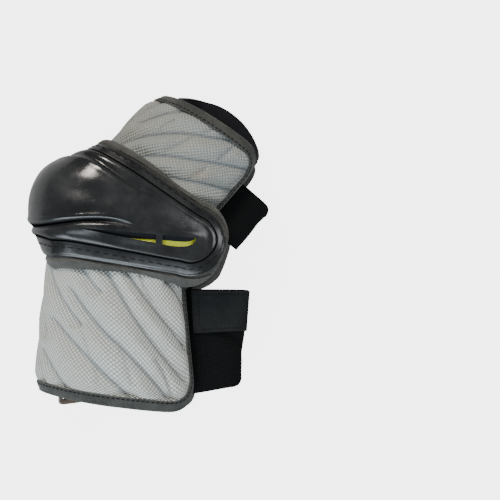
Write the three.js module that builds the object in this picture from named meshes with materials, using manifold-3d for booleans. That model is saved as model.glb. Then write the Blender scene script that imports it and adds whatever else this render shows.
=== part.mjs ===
// A lacrosse arm pad with a bent elbow, lying on its side as it does when it is put down.
// Two padded shells wrap the back of the upper arm and of the forearm. A moulded cap on a foam
// cup covers the elbow between them, and elastic straps close both shells on the crook's side.
// Millimetres, +Z up. Every size is measured from the bend, where the two arm lines meet, and
// at the end the object is moved so that its base is centred on the origin.
import * as THREE from 'three';
import { mergeVertices } from 'three/addons/utils/BufferGeometryUtils.js';
import Module from 'manifold-3d';

const wasm = await Module();
wasm.setup();

const { abs, cos, sin, sqrt, min, max, sign, pow, hypot, PI } = Math;
const DEG = PI / 180;
const lerp = (a, b, t) => a + (b - a) * t;
const share = (from, to, x) => min(1, max(0, (x - from) / (to - from)));
const smooth = (t) => t * t * (3 - 2 * t);

// Between pieces that touch
const GAP = 0.35;
const CUT_GAP = 0.6; // where one piece is cut to a curve of another

// The arm lines
const BEND = 40; // how far the upper arm leans from the forearm's line, in degrees
const LINE_HEIGHT = 57; // of both lines at the bend

// The padded shells. An oval's half sizes are taken outside, at the bend and at the far end.
const FOREARM = {
  heading: -90,
  crookSide: 1,
  shift: 1.4, // of the oval towards the crook
  sideAtBend: 57,
  sideAtEnd: 71,
  riseAtBend: 38,
  riseAtEnd: 47.5,
  endHeight: 39, // of the line at the far end
  level: 46, // how far the line stays level
  near: 18, // from the bend to the shell's end under the cap, on the elbow's side
  nearSlant: 14, // how much further that end lies on the crook's side
  far: 121, // from the bend to the shell's far end, on the elbow's side
  farSlant: 17,
  corner: 27,
  opening: 46, // left open on the crook's side, in degrees
};
const UPPER_ARM = {
  heading: 90 - BEND,
  crookSide: -1,
  shift: 0,
  sideAtBend: 57,
  sideAtEnd: 56,
  riseAtBend: 38,
  riseAtEnd: 47,
  endHeight: 39.5,
  level: 46,
  near: 44,
  nearSlant: 8,
  far: 114,
  farSlant: 13,
  corner: 24,
  opening: 50,
};
const OVAL_POWER = 2.2; // 2 is an ellipse, more is squarer
const SINK_POWER = 1.3; // how evenly a line sinks and its oval grows
const SLANT_REACH = 0.87; // share of the cut's reach where a far end's slant is complete
const PAD_THICKNESS = 10;
const PAD_EDGE_DROP = 4.5; // how much thinner a shell is at its bound edge
const PAD_EDGE_ROLL = 14; // how far in the shell reaches its full thickness

// The sewn grooves lean across the shells
const FOREARM_GROOVES = { pitch: 23.5, lean: 43, start: 4, depth: 3.2 };
const UPPER_ARM_GROOVES = { pitch: 19.5, lean: -74, start: 8, depth: 2.8 };

// The binding round the shells' free edges
const BINDING_WIDTH = 8.5;
const BINDING_THICKNESS = 1.2;
const BINDING_LAP = BINDING_THICKNESS + GAP;
const BINDING_TURN = 0.24; // share of its length that lies along each side
const LINING_INSET = PAD_THICKNESS + BINDING_LAP + GAP; // of what lies inside a bound shell

// The elbow cap has a wing over each side of the arm, joined round the elbow point
const CAP_LEAN = 159.5; // the direction of the elbow point from the bend, in degrees
const CAP_SHIFT = 16.5; // its line's place towards the upper arm
const CAP_POINT = 82; // from the bend to the elbow point
const CAP_TIP = 87; // from the bend to the wings' tips
const CAP_RISE = LINE_HEIGHT; // the lower wing rests on the ground
const CAP_BEND_DEPTH = 60; // of the round part
const CAP_TIP_DIP = 15; // how far a wing's tip closes in on the arm
const CAP_DIP_POWER = 2.2; // how sharply it does
const CAP_HALF_WIDTH = 49;
const CAP_TAPER = 136; // from a wing's tip to where the cap has its full width
const CAP_TIP_HALF_WIDTH = 27.5;
const CAP_TIP_ROUND = 26; // length of a wing's round tip
const CAP_TIP_FLAT = 4; // half of the flat at its very end
const CAP_WALL = 2.8;
const CAP_FLANGE = 10.5;
const CAP_FLANGE_STEP = 3;
const CAP_WING_CROWN = 7;
const CAP_ELBOW_CROWN = 28;
const CAP_CROWN_REACH = 110; // from where a wing ends to where the crown is full

// The raised panel along the cap's middle, measured from the cap's line
const PANEL_STEP = 2.4;
const PANEL_RAMP = 1.6; // width of its edge's slope
const PANEL_BELOW = { atTip: 3.5, atElbow: 29, from: -15, to: 75 };
const PANEL_ABOVE = { atTip: 19.5, atElbow: 33, from: -18, to: 60 };
const PANEL_RUN_OUT = { from: -30, to: 20 };

// The slots in each wing: one tapering cut with a bridge across it
const SLOT_START = { along: 24, across: -22 };
const SLOT_END = { along: -63, across: 3 };
const SLOT_WIDTH = 8;
const SLOT_BRIDGE = 5;
const SLOT_BRIDGE_AT = 0.69; // share of the slot's length

// The foam cup between the cap and the arm, and the foam sheet that shows in the slots
const CUP_RIM = 7; // how far it shows round the cap
const CUP_TIP_RIM = 3; // the same at the wings' tips
const CUP_WING_DEPTH = 15;
const CUP_ELBOW_DEPTH = 24;
const FOAM_THICKNESS = 2;
const FOAM_MARGIN = 5; // from the flange

// The padded cuff inside the upper shell's far end
const CUFF_THICKNESS = 5;
const CUFF_START = 106;
const CUFF_TOP_END = 118;
const CUFF_BOTTOM_END = 148;
const CUFF_SLANT = 1.9; // how sharply its end runs out towards the bottom

// The elastic straps, each a band sewn inside both edges of a shell
const STRAP_THICKNESS = 2;
const STRAP_SQUARENESS = 2.5; // of the band's loop, as an oval's power
const STRAP_SEAM = 44; // where its sewn ends lie in the shell, in degrees from level
const FOREARM_STRAP = { from: 41, to: 128, toAtFold: 114, fold: 104, foldAtEnd: 97, sag: 3 };
const UPPER_ARM_STRAP = { from: 56, to: 101, toAtFold: 101, fold: 78, foldAtEnd: 78, sag: 2 };
const TAB_THICKNESS = 1.6;
const TAB_LENGTH = 36; // along the forearm
const TAB_MARGIN = 1; // from the band's edge
const TAB_FROM = 0.07; // shares of the band's half, from the fold to the sewn end
const TAB_TO = 0.5;

// The ring on the forearm shell's lower edge and the tape that holds it
const RING = { width: 25, depth: 14, bar: 3, thickness: 2.6, corner: 3 };
const RING_ANGLE = 218; // where it sits round the shell, in degrees
const KEEPER = { width: 15, thickness: 1.3, length: 20 };

// How finely the shapes are divided
const PAD_COLUMNS = 36;
const PAD_ROWS = 12;
const PAD_LINING_COLUMNS = 26;
const EDGE_COLUMNS = [20, PAD_EDGE_ROLL, BINDING_WIDTH, 2.5, 0]; // distances from a side edge
const CAP_BEND_STEPS = 7;
const CAP_WING_STEPS = 9;
const CAP_COLUMNS = 13;
const CAP_SPACING = 1.4; // how much closer the steps lie towards a tip
const CAP_INSIDE_BEND_STEPS = 5;
const CAP_INSIDE_WING_STEPS = 6;
const INSIDE_STEPS = 2 * (CAP_INSIDE_BEND_STEPS + CAP_INSIDE_WING_STEPS);
const INSIDE_COLUMNS = 8;
const STRAP_STEPS = 24;
const STRAP_LOOP_STEPS = 16; // of them outside the shell
const STRAP_ROWS = 3;
const BINDING_STEPS = 36;
const OVAL_STEPS = 28;
const OVAL_ROWS = 3;

// How far blocks for cutting reach past what they cut
const PAST_LINING = 4;
const PAST_EDGE = 6;

// A geometry as one closed body with shared corners and its faces pointing out
function closed(geometry) {
  const bare = geometry.clone();
  bare.deleteAttribute('normal');
  bare.deleteAttribute('uv');
  const merged = mergeVertices(bare, 1e-3);
  const { position } = merged.attributes;
  const index = merged.index.array;
  const corners = [new THREE.Vector3(), new THREE.Vector3(), new THREE.Vector3()];
  let volume = 0;
  for (let i = 0; i < index.length; i += 3) {
    const [a, b, c] = corners.map((corner, k) => corner.fromBufferAttribute(position, index[i + k]));
    volume += a.dot(b.cross(c));
  }
  for (let i = 0; volume < 0 && i < index.length; i += 3) {
    [index[i + 1], index[i + 2]] = [index[i + 2], index[i + 1]];
  }
  return merged;
}

function solid(geometry) {
  const { attributes, index } = closed(geometry);
  const vertProperties = new Float32Array(attributes.position.array);
  const mesh = new wasm.Mesh({ numProp: 3, vertProperties, triVerts: new Uint32Array(index.array) });
  return new wasm.Manifold(mesh);
}

function geometryOf(manifold) {
  const { vertProperties, triVerts } = manifold.getMesh();
  const geometry = new THREE.BufferGeometry();
  geometry.setAttribute('position', new THREE.BufferAttribute(vertProperties, 3));
  geometry.setIndex(new THREE.BufferAttribute(triVerts, 1));
  return geometry;
}

// The largest body of what a cut leaves
function largest(manifold) {
  return manifold.decompose().reduce((a, b) => (b.volume() > a.volume() ? b : a));
}

// A divided block whose corners go to where place(u, v, w) says, each from 0 to 1
function wrapped(columns, rows, place) {
  const block = new THREE.BoxGeometry(1, 1, 1, columns, rows, 1);
  const { position } = block.attributes;
  for (let i = 0; i < position.count; i++) {
    const spot = place(position.getX(i) + 0.5, position.getY(i) + 0.5, position.getZ(i) + 0.5);
    position.setXYZ(i, ...spot);
  }
  return block;
}

// A point from its place along an arm, sideways towards the crook, and its height
function armPoint(arm, along, side, height) {
  const heading = arm.heading * DEG;
  const across = (side + arm.shift) * arm.crookSide;
  const x = along * cos(heading) - across * sin(heading);
  const y = along * sin(heading) + across * cos(heading);
  return [x, y, height];
}

const armLength = (arm) => arm.far + arm.farSlant;
const growth = (arm, along) => pow(share(arm.level, armLength(arm), along), SINK_POWER);
const halfSide = (arm, along) => lerp(arm.sideAtBend, arm.sideAtEnd, along / armLength(arm));
const halfRise = (arm, along) => lerp(arm.riseAtBend, arm.riseAtEnd, growth(arm, along));
const lineHeight = (arm, along) => lerp(LINE_HEIGHT, arm.endHeight, growth(arm, along));
const ovalShare = (x) => sign(x) * pow(abs(x), 2 / OVAL_POWER);

// A point of an arm's oval, as side and height, inset from the shell's outside.
// Angles start at the crook. What would sink into the ground lies flat on it.
function ovalSpot(arm, angle, along, inset, lift = inset) {
  const side = (halfSide(arm, along) - inset) * ovalShare(cos(angle));
  const rise = (halfRise(arm, along) - inset) * ovalShare(sin(angle));
  return [side, max(lineHeight(arm, along) + rise, lift)];
}

const ovalPoint = (arm, angle, along, inset, lift) =>
  armPoint(arm, along, ...ovalSpot(arm, angle, along, inset, lift));

// A shell's flat cut: round is the distance from the elbow's line, the other way is along
const cutRadius = (arm) => (arm.sideAtBend + arm.sideAtEnd + arm.riseAtBend + arm.riseAtEnd) / 4;
const cutReach = (arm) => cutRadius(arm) * (PI - (arm.opening / 2) * DEG);
const cutPoint = (arm, round, along, inset, lift) =>
  ovalPoint(arm, PI - round / cutRadius(arm), along, inset, lift);

const nearEnd = (arm, round) => arm.near + arm.nearSlant * (abs(round) / cutReach(arm));
const squareEnd = (arm, round) =>
  arm.far + arm.farSlant * smooth(share(0, SLANT_REACH, abs(round) / cutReach(arm)));

// The far end's line, with the cut's round corners
function farEnd(arm, round) {
  const past = max(0, abs(round) - cutReach(arm) + arm.corner);
  return squareEnd(arm, round) - arm.corner + sqrt(max(0, arm.corner ** 2 - past ** 2));
}

// The distance from a spot of the cut to its free edge
function edgeDistance(arm, round, along) {
  const fromSide = cutReach(arm) - abs(round);
  const fromEnd = squareEnd(arm, round) - along;
  if (fromSide >= arm.corner || fromEnd >= arm.corner) return min(fromSide, fromEnd);
  return arm.corner - hypot(arm.corner - fromSide, arm.corner - fromEnd);
}

// Columns across the cut, with extra ones at the binding, the roll and the round corners
function columnRound(arm, u) {
  const column = abs(u * 2 - 1) * (PAD_COLUMNS / 2);
  const edges = [arm.corner, ...EDGE_COLUMNS].map((inset) => cutReach(arm) - inset);
  const inner = PAD_COLUMNS / 2 - EDGE_COLUMNS.length;
  const step = min(EDGE_COLUMNS.length, max(0, Math.round(column) - inner));
  return sign(u - 0.5) * (step > 0 ? edges[step] : (edges[0] * column) / inner);
}

// Rows along the cut, with extra ones at the binding and the roll
function rowAlong(arm, round, v) {
  const end = farEnd(arm, round);
  const start = nearEnd(arm, round);
  const row = Math.round((1 - v) * PAD_ROWS);
  const roll = min(PAD_EDGE_ROLL, (end - start) / 4);
  const edges = [0, (roll * BINDING_WIDTH) / PAD_EDGE_ROLL, roll];
  return row < 3 ? end - edges[row] : lerp(end - roll, start, (row - 2) / (PAD_ROWS - 2));
}

function edgeDrop(edge) {
  if (edge < BINDING_WIDTH) return lerp(PAD_EDGE_DROP, BINDING_LAP, max(edge, 0) / BINDING_WIDTH);
  return BINDING_LAP * (1 - share(BINDING_WIDTH, PAD_EDGE_ROLL, edge));
}

// How deep the grooves are at a spot: they run out before the binding
function grooveDepth(grooves, round, along, edge) {
  const lean = grooves.lean * DEG;
  const across = round * cos(lean) - along * sin(lean) - grooves.start;
  const crown = pow(abs(sin((PI * across) / grooves.pitch)), 0.6);
  return grooves.depth * (1 - crown) * smooth(share(BINDING_WIDTH, 2 * BINDING_WIDTH, edge));
}

// The shell's body, grown on every side by a clearance: a block with the outside's form, and
// one with the lining's that is cut from it. Each reaches past the other.
function shellSolid(arm, grooves, clearance = 0) {
  const body = wrapped(PAD_COLUMNS, PAD_ROWS, (u, v, w) => {
    const round = columnRound(arm, u);
    const along = rowAlong(arm, round, v);
    const edge = edgeDistance(arm, round, along);
    const drop = edgeDrop(edge) - clearance;
    const outRound = round + (u === 0 || u === 1 ? sign(u - 0.5) * clearance : 0);
    const outAlong = along + (v === 0 ? -clearance : v === 1 ? clearance : 0);
    if (w < 0.5) return cutPoint(arm, outRound, outAlong, PAD_THICKNESS + PAST_LINING);
    const depth = grooveDepth(grooves, round, along, edge);
    return cutPoint(arm, outRound, outAlong, drop + depth, drop);
  });
  const inside = wrapped(PAD_LINING_COLUMNS, 3, (u, v, w) => {
    const round = lerp(-1, 1, u) * (cutReach(arm) + PAST_EDGE);
    const along = lerp(arm.near - PAST_EDGE, armLength(arm) + PAST_EDGE, v);
    return cutPoint(arm, round, along, PAD_THICKNESS + clearance + (w > 0.5 ? 0 : 2 * PAST_LINING));
  });
  return solid(body).subtract(solid(inside));
}

const shellGeometry = (arm, grooves) => geometryOf(shellSolid(arm, grooves));

// The binding's path round the free edge: down one side, round the far end and up the other
function edgeSpot(arm, t) {
  const reach = cutReach(arm);
  const sideStep = share(BINDING_TURN, 0, t) + share(1 - BINDING_TURN, 1, t);
  const turn = lerp(-1, 1, share(BINDING_TURN, 1 - BINDING_TURN, t));
  const flat = 1 - arm.corner / reach;
  const past = share(flat, 1, abs(turn)) * (PI / 2);
  const cornerRound = sign(turn) * (reach - arm.corner * (1 - sin(past)));
  const round = abs(turn) < flat ? turn * reach : cornerRound;
  const along = lerp(farEnd(arm, round), nearEnd(arm, reach), sideStep);
  return [round, along];
}

function bindingGeometry(arm, grooves) {
  const block = wrapped(BINDING_STEPS, 1, (u, v, w) => {
    const [round, along] = edgeSpot(arm, u);
    const before = edgeSpot(arm, max(0, u - 0.004));
    const after = edgeSpot(arm, min(1, u + 0.004));
    const run = [after[0] - before[0], after[1] - before[1]];
    const out = v > 0.5 ? BINDING_LAP : BINDING_THICKNESS - BINDING_WIDTH;
    const scale = out / hypot(...run);
    const inset = w > 0.5 ? edgeDrop(-out) - BINDING_LAP : PAD_THICKNESS + BINDING_LAP;
    return cutPoint(arm, round - scale * run[1], along + scale * run[0], inset);
  });
  return geometryOf(largest(solid(block).subtract(shellSolid(arm, grooves, GAP))));
}

// All the room inside an arm's oval, for cutting what sits on it
function armRoom(arm, inset, from) {
  const room = new THREE.CylinderGeometry(1, 1, 1, OVAL_STEPS, OVAL_ROWS);
  const { position } = room.attributes;
  for (let i = 0; i < position.count; i++) {
    const along = lerp(from, armLength(arm), position.getY(i) + 0.5);
    const [x, z] = [position.getX(i), position.getZ(i)];
    const onAxis = hypot(x, z) < 0.5;
    const spot = onAxis ? [0, lineHeight(arm, along)] : ovalSpot(arm, Math.atan2(z, x), along, inset);
    position.setXYZ(i, ...armPoint(arm, along, ...spot));
  }
  return solid(room);
}

// The cap's line, from the lower wing's tip round the elbow to the upper wing's
function capStation(u, bendSteps, wingSteps, overrun = 0) {
  const step = abs(u * 2 - 1) * (bendSteps + wingSteps);
  const turn = min(1, step / bendSteps) * (PI / 2);
  const bendEnd = CAP_POINT - CAP_BEND_DEPTH;
  const wing = bendEnd + CAP_TIP;
  const run = wing * (1 - pow(1 - max(0, step - bendSteps) / wingSteps, CAP_SPACING));
  const dip = CAP_TIP_DIP * pow(run / wing, CAP_DIP_POWER);
  const slope = run > 0 ? (CAP_DIP_POWER * dip) / run : 0;
  const side = u < 0.5 ? -1 : 1;
  const along = bendEnd + CAP_BEND_DEPTH * cos(turn) - run - overrun;
  const rise = side * (CAP_RISE * sin(turn) - dip - slope * overrun);
  const out = new THREE.Vector2(run > 0 ? -slope : cos(turn), run > 0 ? 1 : sin(turn)).normalize();
  const fromTip = wing - run + (PI / 2 - turn) * CAP_BEND_DEPTH;
  return { along, rise, outAlong: out.x, outRise: side * out.y, fromTip };
}

function capHalfWidth(fromTip) {
  const back = share(CAP_TIP_ROUND, 0, fromTip);
  const tip = lerp(CAP_TIP_FLAT, CAP_TIP_HALF_WIDTH, sqrt(1 - back * back));
  return lerp(tip, CAP_HALF_WIDTH, share(CAP_TIP_ROUND, CAP_TAPER, fromTip));
}

function capEdgeDistance(fromTip, across) {
  if (fromTip >= CAP_TIP_ROUND) return capHalfWidth(fromTip) - abs(across);
  return CAP_TIP_HALF_WIDTH - hypot(CAP_TIP_ROUND - fromTip, across);
}

// How far the smooth inside of the cap has curved down from the cap's line
function capCurve(station, across) {
  const full = smooth(share(CAP_TIP, CAP_TIP + CAP_CROWN_REACH, station.fromTip));
  const half = capHalfWidth(max(station.fromTip, CAP_TIP_ROUND));
  return lerp(CAP_WING_CROWN, CAP_ELBOW_CROWN, full) * pow(across / half, 2);
}

function capSpot(station, across, drop) {
  const along = station.along - drop * station.outAlong;
  const height = LINE_HEIGHT + station.rise - drop * station.outRise;
  const lean = CAP_LEAN * DEG;
  const out = across + CAP_SHIFT;
  return [along * cos(lean) + out * sin(lean), along * sin(lean) - out * cos(lean), height];
}

const panelReach = ({ atTip, atElbow, from, to }, { along }) =>
  lerp(atTip, atElbow, smooth(share(from, to, along)));
const panelBelow = (station) => -panelReach(PANEL_BELOW, station);
const panelAbove = (station) => panelReach(PANEL_ABOVE, station);

// Columns across the cap, with pairs of them at the panel's edges and at the flange's step.
// The panel's columns keep inside the brow where the wing is narrow.
function capColumn(station, v) {
  const half = capHalfWidth(station.fromTip);
  const back = max(0, CAP_TIP_ROUND - station.fromTip);
  const round = CAP_TIP_HALF_WIDTH - CAP_FLANGE;
  const foot = back > 0 ? sqrt(max(1, round ** 2 - back ** 2)) : half - CAP_FLANGE;
  const brow = foot * 0.94;
  const ramp = min(PANEL_RAMP, foot * 0.1);
  const below = max(panelBelow(station), -brow * 0.86);
  const above = min(panelAbove(station), brow * 0.86);
  const lower = [-half, -foot, -brow, lerp(-brow, below, 0.6), below, below + ramp, below * 0.4];
  const upper = [above * 0.4, above - ramp, above, lerp(brow, above, 0.6), brow, foot, half];
  return [...lower, ...upper][Math.round(v * CAP_COLUMNS)];
}

// The cap's outside: a raised panel in the middle, lower sides, and a stepped-down flange
function capDrop(station, across) {
  const onFlange = capEdgeDistance(station.fromTip, across) < CAP_FLANGE + 0.01;
  const below = share(panelBelow(station) + PANEL_RAMP, panelBelow(station), across);
  const above = share(panelAbove(station) - PANEL_RAMP, panelAbove(station), across);
  const fade = smooth(share(PANEL_RUN_OUT.from, PANEL_RUN_OUT.to, station.along));
  const side = PANEL_STEP * lerp(1, max(below, above), fade);
  return capCurve(station, across) + side + (onFlange ? CAP_FLANGE_STEP : 0);
}

// The inside of the cap, which the cup and the foam follow. columnAt gives the place across
// for a half width.
function capInside(u, columnAt, inset, overrun = 0) {
  const station = capStation(u, CAP_INSIDE_BEND_STEPS, CAP_INSIDE_WING_STEPS, overrun);
  const across = columnAt(capHalfWidth(max(station.fromTip, CAP_TIP_ROUND / 5)));
  const onFlange = share(CAP_FLANGE + FOAM_MARGIN, CAP_FLANGE, capEdgeDistance(station.fromTip, across));
  const drop = capCurve(station, across) + PANEL_STEP + CAP_WALL + CAP_FLANGE_STEP * onFlange;
  return capSpot(station, across, drop + inset);
}

// The inside's columns, from the line out: the foam's edge, the flange and the rim
function insideColumn(v, rim) {
  return (half) => {
    const flange = max(half - CAP_FLANGE, half * 0.4);
    const lines = [0, max(flange - FOAM_MARGIN, half * 0.3), flange, half, half + rim];
    return sign(v - 0.5) * lines[Math.round((abs(v * 2 - 1) * INSIDE_COLUMNS) / 2)];
  };
}

// A slot's tapering outline, drawn along x from its pointed end
function slotShape(length) {
  const slot = new THREE.Shape();
  slot.moveTo(0, 0);
  slot.lineTo(length, 0);
  const belly = [length * 0.86, -SLOT_WIDTH * 1.15];
  slot.bezierCurveTo(length, -SLOT_WIDTH, ...belly, length * 0.66, -SLOT_WIDTH * 0.8);
  slot.quadraticCurveTo(length * 0.36, -SLOT_WIDTH * 0.55, 0, 0);
  return slot;
}

// The slots as upright cutters through one wing
function slotCutter(wing) {
  const run = [SLOT_END.along - SLOT_START.along, SLOT_END.across - SLOT_START.across];
  const length = hypot(...run);
  const depth = CAP_RISE * 0.6;
  const options = { depth, bevelEnabled: false, curveSegments: 5 };
  const flat = new THREE.ExtrudeGeometry(slotShape(length), options);
  const bridge = new THREE.BoxGeometry(SLOT_BRIDGE, SLOT_WIDTH * 4, depth * 3);
  bridge.translate(length * SLOT_BRIDGE_AT, 0, 0);
  const cut = solid(flat).subtract(solid(bridge));
  const lean = CAP_LEAN * DEG;
  const along = new THREE.Vector3(cos(lean), sin(lean), 0);
  const across = new THREE.Vector3(sin(lean), -cos(lean), 0);
  const x = along.clone().multiplyScalar(run[0] / length).addScaledVector(across, run[1] / length);
  const z = new THREE.Vector3(0, 0, CAP_RISE * 0.7);
  const start = z.clone().addScaledVector(along, SLOT_START.along);
  start.addScaledVector(across, SLOT_START.across + CAP_SHIFT);
  z.normalize();
  const turn = new THREE.Matrix4().makeBasis(x, z.clone().cross(x), z).setPosition(start);
  const flip = new THREE.Matrix4().makeScale(1, 1, wing).setPosition(0, 0, LINE_HEIGHT);
  return solid(geometryOf(cut).applyMatrix4(turn).applyMatrix4(flip));
}

function capGeometry() {
  const steps = 2 * (CAP_BEND_STEPS + CAP_WING_STEPS);
  const outside = wrapped(steps, CAP_COLUMNS, (u, v, w) => {
    const station = capStation(u, CAP_BEND_STEPS, CAP_WING_STEPS);
    const across = capColumn(station, v);
    return capSpot(station, across, capDrop(station, across) + (w > 0.5 ? 0 : 4 * CAP_WALL));
  });
  const inside = wrapped(INSIDE_STEPS, INSIDE_COLUMNS, (u, v, w) =>
    capInside(u, insideColumn(v, 2), w > 0.5 ? 0 : 6 * CAP_WALL, u === 0 || u === 1 ? 2 : 0));
  const shell = solid(outside).subtract(solid(inside));
  return geometryOf(shell.subtract(slotCutter(1)).subtract(slotCutter(-1)));
}

// The foam lies on the inside, all but its last step at each tip. The cup is cut to its form.
const foamBlock = (clearance) =>
  wrapped(INSIDE_STEPS - 2, 2, (u, v, w) => {
    const place = lerp(0.5, u, 1 - 2 / INSIDE_STEPS);
    const column = insideColumn(0.5 + (v * 2 - 1) / INSIDE_COLUMNS, 0);
    const columnAt = (half) => column(half) + (v * 2 - 1) * clearance;
    const inset = w > 0.5 ? GAP - clearance : GAP + FOAM_THICKNESS + clearance;
    return capInside(place, columnAt, inset, u === 0 || u === 1 ? clearance : 0);
  });

function cupGeometry() {
  const body = wrapped(INSIDE_STEPS, INSIDE_COLUMNS, (u, v, w) => {
    const atTip = u === 0 || u === 1;
    const { fromTip } = capStation(u, CAP_INSIDE_BEND_STEPS, CAP_INSIDE_WING_STEPS);
    const toElbow = smooth(share(CAP_TIP, CAP_TIP + CAP_POINT, fromTip));
    const inset = w > 0.5 ? GAP : lerp(CUP_WING_DEPTH, CUP_ELBOW_DEPTH, toElbow);
    const columnAt = insideColumn(v, atTip ? CUP_TIP_RIM / 3 : CUP_RIM);
    return capInside(u, columnAt, inset, atTip ? CUP_TIP_RIM : 0);
  });
  const elbow = new THREE.SphereGeometry(1, 20, 10);
  const side = FOREARM.sideAtBend - PAD_THICKNESS;
  elbow.rotateX(PI / 2).scale(side, side, FOREARM.riseAtBend - PAD_THICKNESS);
  elbow.translate(0, 0, LINE_HEIGHT);
  let cup = solid(body).subtract(solid(elbow)).subtract(solid(foamBlock(2 * GAP)));
  for (const arm of [FOREARM, UPPER_ARM]) {
    cup = cup.subtract(armRoom(arm, -CUT_GAP, arm.near - 2 * CUT_GAP));
    cup = cup.subtract(armRoom(arm, PAD_THICKNESS, -arm.near));
  }
  return geometryOf(largest(cup));
}

function cuffGeometry() {
  const inset = LINING_INSET + GAP;
  const profile = [[2, 0], [2, 1], [1, 1], [1, 0], [2, 0]].map(([x, y]) => new THREE.Vector2(x, y));
  const cuff = new THREE.LatheGeometry(profile, OVAL_STEPS);
  const { position } = cuff.attributes;
  for (let i = 0; i < position.count; i++) {
    const [x, y, z] = [position.getX(i), position.getY(i), position.getZ(i)];
    const angle = Math.atan2(z, x);
    const end = lerp(CUFF_TOP_END, CUFF_BOTTOM_END, pow((1 - sin(angle)) / 2, CUFF_SLANT));
    const depth = hypot(x, z) > 1.5 ? inset : inset + CUFF_THICKNESS;
    position.setXYZ(i, ...ovalPoint(UPPER_ARM, angle, lerp(CUFF_START, end, y), depth));
  }
  return closed(cuff);
}

// A strap's line: turn is 0 at the fold, 1 at the sewn end above and -1 at the one below
function strapSpot(arm, strap, turn, along) {
  const loop = STRAP_LOOP_STEPS / STRAP_STEPS;
  const [h, top] = [abs(turn), turn < 0 ? -1 : 1];
  const edge = (arm.opening / 2) * DEG - (2.5 * BINDING_LAP) / cutRadius(arm);
  const inset = LINING_INSET + 2 * GAP + STRAP_THICKNESS / 2;
  if (h > loop) {
    const angle = lerp(edge, STRAP_SEAM * DEG, share(loop, 1, h));
    return ovalSpot(arm, angle * top, along, inset);
  }
  const [side, height] = ovalSpot(arm, edge * top, along, inset);
  const quarter = (h / loop) * (PI / 2);
  const fold = lerp(strap.fold, strap.foldAtEnd, share(strap.from, strap.to, along));
  const centre = lineHeight(arm, along) - strap.sag * cos(quarter);
  const power = 2 / STRAP_SQUARENESS;
  return [
    side + (fold - side) * pow(max(0, cos(quarter)), power),
    centre + (height - centre) * pow(sin(quarter), power),
  ];
}

function strapPoint(arm, strap, turn, v, out) {
  const fold = smooth(share(0.9, 0.2, abs(turn)));
  const along = lerp(strap.from, lerp(strap.to, strap.toAtFold, fold), v);
  const before = strapSpot(arm, strap, max(-1, turn - 0.02), along);
  const after = strapSpot(arm, strap, min(1, turn + 0.02), along);
  const [side, height] = strapSpot(arm, strap, turn, along);
  const run = [after[0] - before[0], after[1] - before[1]];
  const length = hypot(...run);
  return armPoint(arm, along, side + (out * run[1]) / length, height - (out * run[0]) / length);
}

const strapGeometry = (arm, strap) =>
  closed(wrapped(STRAP_STEPS, STRAP_ROWS, (u, v, w) =>
    strapPoint(arm, strap, lerp(-1, 1, u), v, (w - 0.5) * STRAP_THICKNESS)));

function tabGeometry() {
  const strap = FOREARM_STRAP;
  const width = strap.to - strap.from;
  return closed(wrapped(6, 2, (u, v, w) => {
    const place = (TAB_MARGIN + TAB_LENGTH * v) / width;
    const out = STRAP_THICKNESS / 2 + GAP + w * TAB_THICKNESS;
    return strapPoint(FOREARM, strap, lerp(TAB_FROM, TAB_TO, u), place, out);
  }));
}

// The frame of the ring: x round the shell, y along the forearm and z out of the shell
function ringFrame() {
  const angle = RING_ANGLE * DEG;
  const sagitta = RING.width ** 2 / (8 * halfRise(FOREARM, FOREARM.far));
  const inset = LINING_INSET + RING.thickness / 2 + sagitta + KEEPER.thickness;
  const along = farEnd(FOREARM, cutRadius(FOREARM) * (PI - angle)) + BINDING_LAP;
  const origin = new THREE.Vector3(...ovalPoint(FOREARM, angle, along, inset));
  const ahead = new THREE.Vector3(...ovalPoint(FOREARM, angle, along + 1, inset)).sub(origin).normalize();
  const beside = new THREE.Vector3(...ovalPoint(FOREARM, angle + 0.05, along, inset)).sub(origin);
  const z = new THREE.Vector3().crossVectors(beside, ahead).normalize();
  return new THREE.Matrix4().makeBasis(ahead.clone().cross(z), ahead, z).setPosition(origin);
}

function roundedBox(width, depth, corner, Kind) {
  const [x, y] = [width / 2, depth / 2];
  const outline = new Kind();
  outline.absarc(x - corner, y - corner, corner, 0, PI / 2);
  outline.absarc(corner - x, y - corner, corner, PI / 2, PI);
  outline.absarc(corner - x, corner - y, corner, PI, 1.5 * PI);
  outline.absarc(x - corner, corner - y, corner, 1.5 * PI, 2 * PI);
  outline.closePath();
  return outline;
}

function ringGeometry() {
  const { width, depth, bar, thickness, corner } = RING;
  const ring = roundedBox(width, depth, corner, THREE.Shape);
  ring.holes.push(roundedBox(width - 2 * bar, depth - 2 * bar, corner / 2, THREE.Path));
  const options = { depth: thickness, bevelEnabled: false, curveSegments: 3 };
  const geometry = new THREE.ExtrudeGeometry(ring, options);
  geometry.translate(0, depth / 2 - bar, -thickness / 2);
  return closed(geometry);
}

// The tape folds round the ring's near bar, and both its ends lie inside the shell
function keeperGeometry() {
  const inner = RING.thickness / 2 + GAP;
  const outer = inner + KEEPER.thickness;
  const loop = new THREE.Shape();
  loop.moveTo(-KEEPER.length, inner);
  loop.lineTo(0, inner);
  loop.absarc(0, 0, inner, PI / 2, -PI / 2, true);
  loop.lineTo(-KEEPER.length, -inner);
  loop.lineTo(-KEEPER.length, -outer);
  loop.lineTo(0, -outer);
  loop.absarc(0, 0, outer, -PI / 2, PI / 2);
  loop.lineTo(-KEEPER.length, outer);
  loop.closePath();
  const options = { depth: KEEPER.width, bevelEnabled: false, curveSegments: 5 };
  const tape = new THREE.ExtrudeGeometry(loop, options);
  tape.translate(0, 0, -KEEPER.width / 2);
  const turn = new THREE.Matrix4().makeBasis(
    new THREE.Vector3(0, 1, 0), new THREE.Vector3(0, 0, 1), new THREE.Vector3(1, 0, 0));
  return closed(tape.applyMatrix4(turn));
}

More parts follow.
